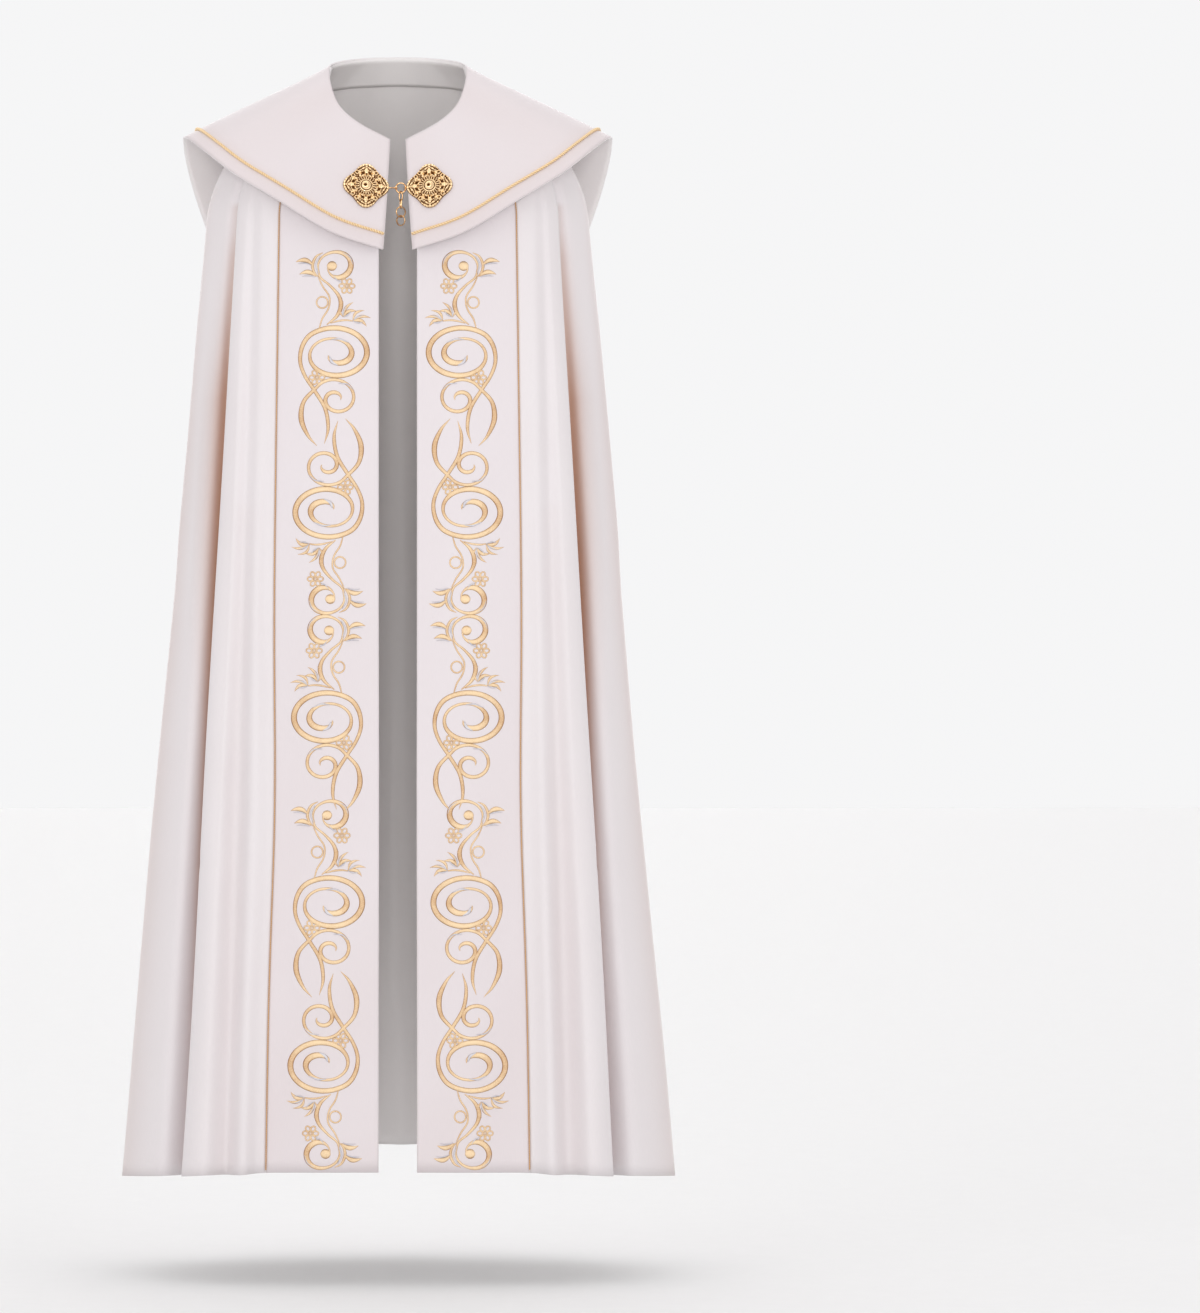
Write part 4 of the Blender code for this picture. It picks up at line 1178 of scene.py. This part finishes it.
def lay_piping(nodes, look, dark_look):
    """Gold cord sewn along the hood's edge and down the bands' seams."""
    made = [grow("hood_cord", [(hood_piping_line(HOOD_PIPING_LIFT), 1.0, False)], nodes, HOOD_PIPING_SHAPE,
                 look)]
    settle(made[0], "gold_cord", "hood_piping")
    for name, sign in (("left", 1), ("right", -1)):
        cord = grow("band_cord_" + name, [(band_piping_line(sign, BAND_PIPING_LIFT), 1.0, False)], nodes,
                    BAND_PIPING_SHAPE, dark_look)
        settle(cord, "gold_cord", "orphrey_piping_" + name)
        made.append(cord)
    return made


# ---------------------------------------------------------------- clasp

PLATE_TURN = math.radians(4)    # each plate is stitched on a little askew
PLATE_SIDES = 256
PLATE_RINGS = 84
PLATE_TALL = 1.06       # a plate is a little taller than it is wide
RIM_DROP = 1.2          # its edge is rounded down by this much
BEADS = 44              # beads round the rim
BUD_REACH = 20.2        # from a plate's middle to the bud in each lobe
SPRAY_REACH = 10.5      # and to the root of the curling leaves beside it
BOSS = 9.0              # radius of the dimpled boss
GROOVE = 10.9           # radius of the groove round the boss
LEAVES = 22             # pointed leaves in the groove
LEAF_ROOT = 9.4         # radius at which they start
LEAF_LENGTH = 4.0
BLUR = 3                # lacquer and painted shade sit in hollows narrower than so many mesh steps


def clasp_frame(sign):
    """Where a plate sits on the hood's front: its centre, and its right, out and up directions."""
    places = np.linspace(HOOD_LAST - 2.0, HOOD_LAST, 4001)
    level = np.full(len(places), PLATE_DROP)
    place = places[np.argmin(np.abs(hood_point(places, level)[:, 0] - PLATE_X))] * sign
    at, down = np.array([place]), np.array([PLATE_DROP])
    out = normals(hood_point, at, down)[0]
    right = unit(np.cross(Z_AXIS, out))
    up = np.cross(out, right)
    return hood_point(at, down)[0], right, out, up * np.sign(up[2])


def plate_edge(angle):
    """Radius of a plate's four-lobed edge."""
    return 27.7 + 3.1 * np.cos(4 * angle)


def cast_relief(radius, angle):
    """Height of the cast foliage over a plate, from its middle out to its edge."""
    share = radius / plate_edge(angle)
    # Beaded rim with a groove inside it.
    high = (0.6 + 0.5 * np.cos(BEADS * angle)) * bump(share - 0.95, 0.035) - 0.6 * bump(share - 0.88, 0.03)
    # Bud in each lobe with a ring of seven petals, its stem, and a pit on each side of the stem.
    quarter = (angle + math.pi / 4) % (math.pi / 2) - math.pi / 4
    ahead, aside = radius * np.cos(quarter), np.abs(radius * np.sin(quarter))
    bud = np.hypot((ahead - BUD_REACH) / 1.2, aside)
    around = np.arctan2(aside, ahead - BUD_REACH)
    high += 2.7 * bump(bud, 2.3) + 1.5 * bump(bud - 5.0, 0.9) * (0.5 + 0.5 * np.cos(7 * around))
    high += 1.8 * bump(aside - 1.5 - 0.06 * (ahead - 12), 0.75) * bump(ahead - 15.0, 2.4)
    high -= 1.5 * bump(np.hypot(ahead - 17.2, aside - 4.5), 1.6)
    # Two leaves that curl out beside each bud, a scroll between the lobes, and a crinkle over it all.
    for root, lean, length in ((6.0, 0.75, 12.5), (9.0, 0.25, 10.0)):
        reach = np.hypot(ahead - SPRAY_REACH, aside - root)
        base = np.arctan2(aside - root, ahead - SPRAY_REACH)
        blade = bump(base - lean + 0.05 * reach, 0.27) * (reach > 0.8) * held((length - reach) / 4)
        high += 2.1 * blade * (0.8 + 0.2 * np.cos(2.2 * reach))
    high += 1.7 * bump(np.hypot(ahead - 17.5, aside - 12.5) - 2.2, 0.8)
    fold = np.sin(1.9 * ahead + 1.6 * np.sin(0.8 * aside)) * np.cos(1.7 * aside + 1.5 * np.sin(0.7 * ahead))
    high += 0.6 * fold * held((radius - 12.0) / 3.0) * held((1.0 - share) / 0.1)
    # Pointed leaves in a groove that is open between the lobes and half covered by the buds.
    eighth = (angle * LEAVES / (2 * math.pi)) % 1.0 - 0.5
    along = held((radius - LEAF_ROOT) / LEAF_LENGTH)
    tooth = held(1 - (eighth / (0.42 * (1 - along) ** 0.7 + 0.03)) ** 2) * (along > 0) * (along < 1)
    groove = bump(radius - GROOVE, 1.7) * (0.35 + 0.65 * np.sin(2 * angle) ** 2)
    high = high * (1 - 0.8 * groove) - 1.3 * groove + 1.1 * tooth * (1 - 0.4 * along)
    # Boss with a line round it and a dimple a little off its middle.
    boss = held(1 - (radius / BOSS) ** 2) ** 0.5
    high = high * (1 - held(boss * 4)) + 2.2 * boss - 0.9 * bump(radius - 6.9, 0.6)
    dimple = np.hypot(radius * np.cos(angle) + 1.2, radius * np.sin(angle) - 0.6)
    return high - 2.8 * bump(dimple, 1.7) + 0.6 * bump(dimple - 3.3, 0.8)


def turned_faces(rings, sides):
    """Faces between neighbouring rings of points, each ring with so many sides."""
    side = np.arange(sides)
    ring_starts = np.arange(rings - 1)[:, None] * sides
    near, after = (ring_starts + side).ravel(), (ring_starts + (side + 1) % sides).ravel()
    return np.column_stack([near, near + sides, after + sides, after]).tolist()


def cast_plate(name, sign, look):
    """Cast quatrefoil plate, flat behind, seated on the hood."""
    centre, right, out, up = clasp_frame(sign)
    turn = PLATE_TURN * sign
    across = right * math.cos(turn) + up * math.sin(turn)
    along = up * math.cos(turn) - right * math.sin(turn)
    seat = centre + out * PLATE_SEAT
    angles = np.linspace(0, 2 * math.pi, PLATE_SIDES, endpoint=False)
    share, angle = np.meshgrid(np.linspace(0.012, 1.0, PLATE_RINGS), angles, indexing="ij")
    radius = share * plate_edge(angle)
    high = cast_relief(radius, angle)
    flat = across * (radius * np.cos(angle))[..., None]
    flat = flat + along * (PLATE_TALL * radius * np.sin(angle))[..., None]
    rounding = held((share - 0.965) / 0.035) ** 2
    top = seat + flat + out * (PLATE_BASE + high)[..., None] - out * (rounding * RIM_DROP)[..., None]
    crown_point = seat + out * (PLATE_BASE + high[0].mean())
    points = np.vstack([top.reshape(-1, 3), seat + flat[-1], crown_point[None], seat[None]])
    faces = turned_faces(PLATE_RINGS, PLATE_SIDES)
    rim, under = (PLATE_RINGS - 1) * PLATE_SIDES, PLATE_RINGS * PLATE_SIDES
    crown, heel = len(points) - 2, len(points) - 1
    for side in range(PLATE_SIDES):
        ahead = (side + 1) % PLATE_SIDES
        faces += [(crown, side, ahead), (rim + side, under + side, under + ahead, rim + ahead),
                  (under + side, heel, under + ahead)]
    blurred = high.copy()
    for _ in range(3):
        wide = np.roll(blurred, BLUR, 1) + np.roll(blurred, -BLUR, 1) + blurred
        tall = np.pad(wide, ((BLUR, BLUR), (0, 0)), mode="edge")
        blurred = (tall[:-2 * BLUR] + tall[BLUR:-BLUR] + tall[2 * BLUR:]) / 9
    # Colour mark: brown lacquer and painted shade in the hollows, painted highlight on the high relief, a
    # darker boss.
    bright = held(0.385 + 0.72 * (high - blurred) + 0.11 * high - 0.24 * (radius < 7.8))
    marks = np.concatenate([bright.ravel(), np.full(PLATE_SIDES, 0.4), [bright[0].mean()], [0.4]])
    piece = outward(mesh_object(name, points, faces, look, high=marks))
    settle(piece, "cast_gold", "clasp_plate_" + name.split("_")[-1])


def circle(centre, first, second, radius, start, end, steps):
    """Points of an arc in the plane of two directions, angles in degrees."""
    angles = np.radians(np.linspace(start, end, steps + 1))
    return centre + first * (radius * np.cos(angles))[:, None] + second * (radius * np.sin(angles))[:, None]


HOOK_WIRE = 0.6         # wire radius of the hook and the eye
HOOK_BEND = 1.9         # radius of their bends round the ring's wire
HOOK_REST = 0.45        # how far the bends' centres stand inside the ring's wire
HOOK_TAIL = 3.0         # length of the hook past its bend
WIRE_SHAPE = (1.25, 0.0, 1000.0, 0.4)   # one ply, a quarter thicker than the solid wire, and no twist


def fasten_clasp(nodes, look):
    """The ring between the plates, with the hook that holds it and the eye of the other plate.  Returns
    the centre of the ring."""
    centre, right, out, _ = clasp_frame(1)
    tip = centre + out * (PLATE_SEAT + PLATE_BASE / 2) - right * (PLATE_MEAN_RADIUS + PLATE_LOBE)
    level = np.array([0.0, tip[1], tip[2] - RING_DROP])
    ring_centre = level + X_AXIS * RING_X
    loop = circle(ring_centre, X_AXIS, Z_AXIS, RING_RADIUS, 0, 352.5, 47)
    bend_reach = X_AXIS * (RING_RADIUS - HOOK_REST)
    side = Y_AXIS * HOOK_BEND
    plate_end = X_AXIS * (tip[0] + 0.6)
    hook_centre = ring_centre - bend_reach
    eye = np.vstack([level + plate_end - side,
                     circle(ring_centre + bend_reach, -Y_AXIS, -X_AXIS, HOOK_BEND, 0, 180, 16),
                     level + plate_end + side])
    hook = np.vstack([level - plate_end - side,
                      circle(hook_centre, -Y_AXIS, X_AXIS, HOOK_BEND, 0, 180, 16),
                      hook_centre + side - X_AXIS * HOOK_TAIL])
    piece = grow("clasp_wires", [(loop, RING_WIRE, True), (eye, HOOK_WIRE, False), (hook, HOOK_WIRE, False)],
                 nodes, WIRE_SHAPE, look)
    settle(piece, "cast_gold", "clasp_ring", "clasp_hook", "clasp_eye")
    return ring_centre


def hang_chain(ring_centre, nodes, look):
    """Two links and two rings that hang from the clasp ring, each resting on the wire above it."""
    rest = ring_centre[2] - RING_RADIUS + RING_WIRE
    wires = []
    for _, width, height, turn in LINKS:
        top = rest + LINK_GAP + 2 * LINK_WIRE
        centre = np.array([ring_centre[0], ring_centre[1], top - height / 2])
        flat = np.array([math.cos(math.radians(turn)), math.sin(math.radians(turn)), 0.0])
        radius = width / 2 - LINK_WIRE
        straight = height / 2 - LINK_WIRE - radius
        path = np.vstack([circle(centre + Z_AXIS * straight, flat, Z_AXIS, radius, 0, 180, 16),
                          circle(centre - Z_AXIS * straight, flat, Z_AXIS, radius, 180, 360, 16)])
        wires.append((path, LINK_WIRE, True))
        rest = top - height + 2 * LINK_WIRE
    piece = grow("chain", wires, nodes, WIRE_SHAPE, look)
    settle(piece, "cast_gold", *[row[0] for row in LINKS], body="chain_end")


# ---------------------------------------------------------------- tassel


def tassel_frame():
    """Where the tassel hangs: its top, and the turn that leans it on the back."""
    at, down = np.array([0.0]), np.array([1.0])
    tip = hood_point(at, down)[0] - normals(hood_point, at, down)[0] * HOOD_WALL / 2
    lean = np.array(Matrix.Rotation(TASSEL_LEAN, 3, "X"))
    return tip - Z_AXIS * GAP, lean


def hang(points):
    """Points below the hood's tip, turned with the tassel's lean."""
    top, lean = tassel_frame()
    return top + np.asarray(points) @ lean.T


HEAD_SIDES = 96
HEAD_ROWS = 150
KNOB_TOP = 1.2          # drops at which the head's parts begin
NECK_TOP = 12.0
BELL_TOP = 17.0
BELL_FOOT = 38.0
BAND_TOP = 38.6
WRAP_PITCH = 1.15       # height of one turn of thread in the band
THREAD_SINK = 0.45      # thread work starts this far under the head's profile


def head_relief(drop, angle):
    """Thread work of the head: a knotted knob, a bound neck, a netted bell with a picot row and a wrapped
    band at its foot."""
    weave = np.maximum(np.cos(6 * angle + 0.62 * drop), np.cos(6 * angle - 0.62 * drop))
    high = np.where((drop > KNOB_TOP) & (drop < NECK_TOP), 0.75 * held(weave) ** 1.5, 0.0)
    high = np.where((drop >= NECK_TOP) & (drop < BELL_TOP), 0.35 * np.cos(22 * angle) + 0.2, high)
    net = np.maximum(np.cos(10 * angle + 1.22 * drop), np.cos(10 * angle - 1.22 * drop))
    high = np.where((drop >= BELL_TOP) & (drop < BELL_FOOT), 0.85 * held(net) ** 3, high)
    picot = bump(drop - 37.6, 1.1) * (0.6 + 0.5 * np.cos(20 * angle))
    wrapped = np.where(drop >= BAND_TOP, 0.28 * np.cos(2 * math.pi * drop / WRAP_PITCH), 0.0)
    return high + picot + wrapped


def knot_head(look):
    """Head of the tassel, a closed turned form covered with thread work."""
    table = [row[1:] for row in TASSEL_HEAD] + [(HEAD_HEIGHT - 1.2, 12.6), (HEAD_HEIGHT, 11.6)]
    drops, radii = np.array(table, dtype=float).T
    levels = np.linspace(0.0, HEAD_HEIGHT, HEAD_ROWS)
    smooth = curve(with_ends(radii[:, None]), np.interp(levels, drops, np.arange(len(drops))))[:, 0]
    angles = np.linspace(0, 2 * math.pi, HEAD_SIDES, endpoint=False)
    level, angle = np.meshgrid(levels, angles, indexing="ij")
    high = head_relief(level, angle) * held(level / 2)
    reach = smooth[:, None] - THREAD_SINK + high
    points = np.stack([reach * np.cos(angle), reach * np.sin(angle), -CORD_LENGTH - level], axis=2)
    faces = turned_faces(HEAD_ROWS, HEAD_SIDES)
    faces += [list(range(first, first + HEAD_SIDES)) for first in (0, (HEAD_ROWS - 1) * HEAD_SIDES)]
    # The mark hollow paints shade where the thread work lies low.
    return outward(mesh_object("tassel_head", hang(points.reshape(-1, 3)), faces, look,
                               hollow=held(0.95 - high * 1.5).ravel()))


# Rings of bullion in the skirt: how many doubled strands, where they leave the head, how far out they
# roll, where their feet hang, and how far down.
BULLION_RINGS = [
    (17, 10.8, 16.4, 18.2, 75.0),
    (13, 8.0, 12.0, 13.4, 72.0),
    (8, 4.5, 7.4, 8.4, 70.0),
]
STRAND_HALF = 1.15      # half the distance between the two sides of a doubled strand
ROLL = 0.10             # share of a strand that rolls out over the head's foot
STRAND_START = 3.0      # strands come out this far up inside the head
STRAND_TUCK = 1.5       # and are tucked in by this much more
# Strands differ a little, by waves that run from one to the next: in place by an angle, in length and in
# thickness by a share, and in how far they waver to the side.
STRAND_PLACE = 0.09
STRAND_LENGTH = 0.075
STRAND_THICKNESS = 0.16
STRAND_WAVER = 0.7
GOLDEN_ANGLE = 2.39996  # never comes round to the same wave twice
TASSEL_CORD_SHAPE = (0.50, 0.44, 5.0, 0.5)
STRAND_SHAPE = (0.66, 0.56, 4.2, 1.0)


def bullion_strand(number, ring_row):
    """Path of a doubled strand: out over the head's foot, down, round a small loop and back up."""
    count, root, shoulder, foot, drop = ring_row
    seed = number * GOLDEN_ANGLE + count
    angle = 2 * math.pi * number / count + STRAND_PLACE * math.sin(seed * 3.1)
    fall = drop * (1 - STRAND_LENGTH * (0.5 + 0.5 * math.sin(seed * 5.3)))
    line = []
    for run in np.linspace(0, 1, 26):
        out = root + (shoulder - root) * math.sin(min(run / ROLL, 1.0) * math.pi / 2)
        out += (foot - shoulder) * held((run - ROLL) / 0.9)
        waver = STRAND_WAVER * math.sin(seed + 4.2 * run) * run
        line.append((out, waver, -STRAND_TUCK + fall * run ** 1.05))
    out, waver, low = line[-1]
    path = [(out, waver - STRAND_HALF, down) for out, waver, down in line]
    path += [(out, waver - STRAND_HALF * math.cos(turn), low + STRAND_HALF * math.sin(turn))
             for turn in np.linspace(0.5, math.pi - 0.5, 5)]
    path += [(out - 0.3, waver + STRAND_HALF, down) for out, waver, down in reversed(line)]
    return [(out * math.cos(angle) - aside * math.sin(angle), out * math.sin(angle) + aside * math.cos(angle),
             -CORD_LENGTH - HEAD_HEIGHT + STRAND_START - down) for out, aside, down in path]


def hang_tassel(nodes, look, core):
    """Cord from the hood's tip, the knotted head and its skirt of bullion."""
    line = hang([(0.0, 0.0, -drop) for drop in spread(0.0, CORD_LENGTH - GAP, 14)])
    cord = grow("tassel_twist", [(line, 1.0, False)], nodes, TASSEL_CORD_SHAPE, look)
    settle(cord, "bullion", "tassel_cord")
    head = knot_head(look)
    settle(head, "bullion", "tassel")
    # The strands in the middle get a darker copy of the bullion: painted shade.
    for name, rings, finish in (("tassel_skirt", BULLION_RINGS[:1], look),
                                ("tassel_core", BULLION_RINGS[1:], core)):
        chains = [(hang(bullion_strand(number, row)),
                   1.0 + STRAND_THICKNESS * math.sin(number * 1.9 + row[0]), False)
                  for row in rings for number in range(row[0])]
        strands = grow(name, chains, nodes, STRAND_SHAPE, finish)
        settle(strands, "bullion", "tassel")


# ---------------------------------------------------------------- everything together

place_camera()
light_studio()
twist = cord_nodes(2, 6)
wire = cord_nodes(1, 12)
# A darker copy of the bullion paints the shade in the tassel's middle.
hang_tassel(twist, twisted_yarn("gold bullion", "#f8e0b8", "#a87440", 0.25),
            twisted_yarn("gold bullion painted in shade, tassel's middle", "#b88a54", "#6e4822", 0.25))

body_satin = satin("duchess satin", "#ebe6e8", "#b07c5c", "#e8e1e3", 0.42)
band_satin = satin("stiffened satin", "#e9e2e5", "#b07c5c", "#e6dee1", 0.45)
lay_floor(studio_floor())
cloth = sew_cloth(body_satin, band_satin)
hood = sew_hood(band_satin)
gold_thread = stitched_thread("gold rayon thread", "#f7dab0", "#b27840", 0.15)
silver_thread = stitched_thread("silver grey rayon thread", "#e0dde2", "#b0acb6", 0.15)
stitching = {"left": embroider_band("left", 1, cloth["band_left"], gold_thread, silver_thread),
             "right": embroider_band("right", -1, cloth["band_right"], gold_thread, silver_thread),
             "hood": embroider_hood(hood, gold_thread)}
piping = lay_piping(twist, twisted_yarn("gold cord", "#f8dcae", "#cc9c62", 0.2),
                    twisted_yarn("fine gold cord", "#dcae7c", "#a8714a", 0.2))
gilt = cast_gilt()
cast_plate("clasp_left", 1, gilt)
cast_plate("clasp_right", -1, gilt)
bright_wire = polished_wire()
hang_chain(fasten_clasp(wire, bright_wire), wire, bright_wire)
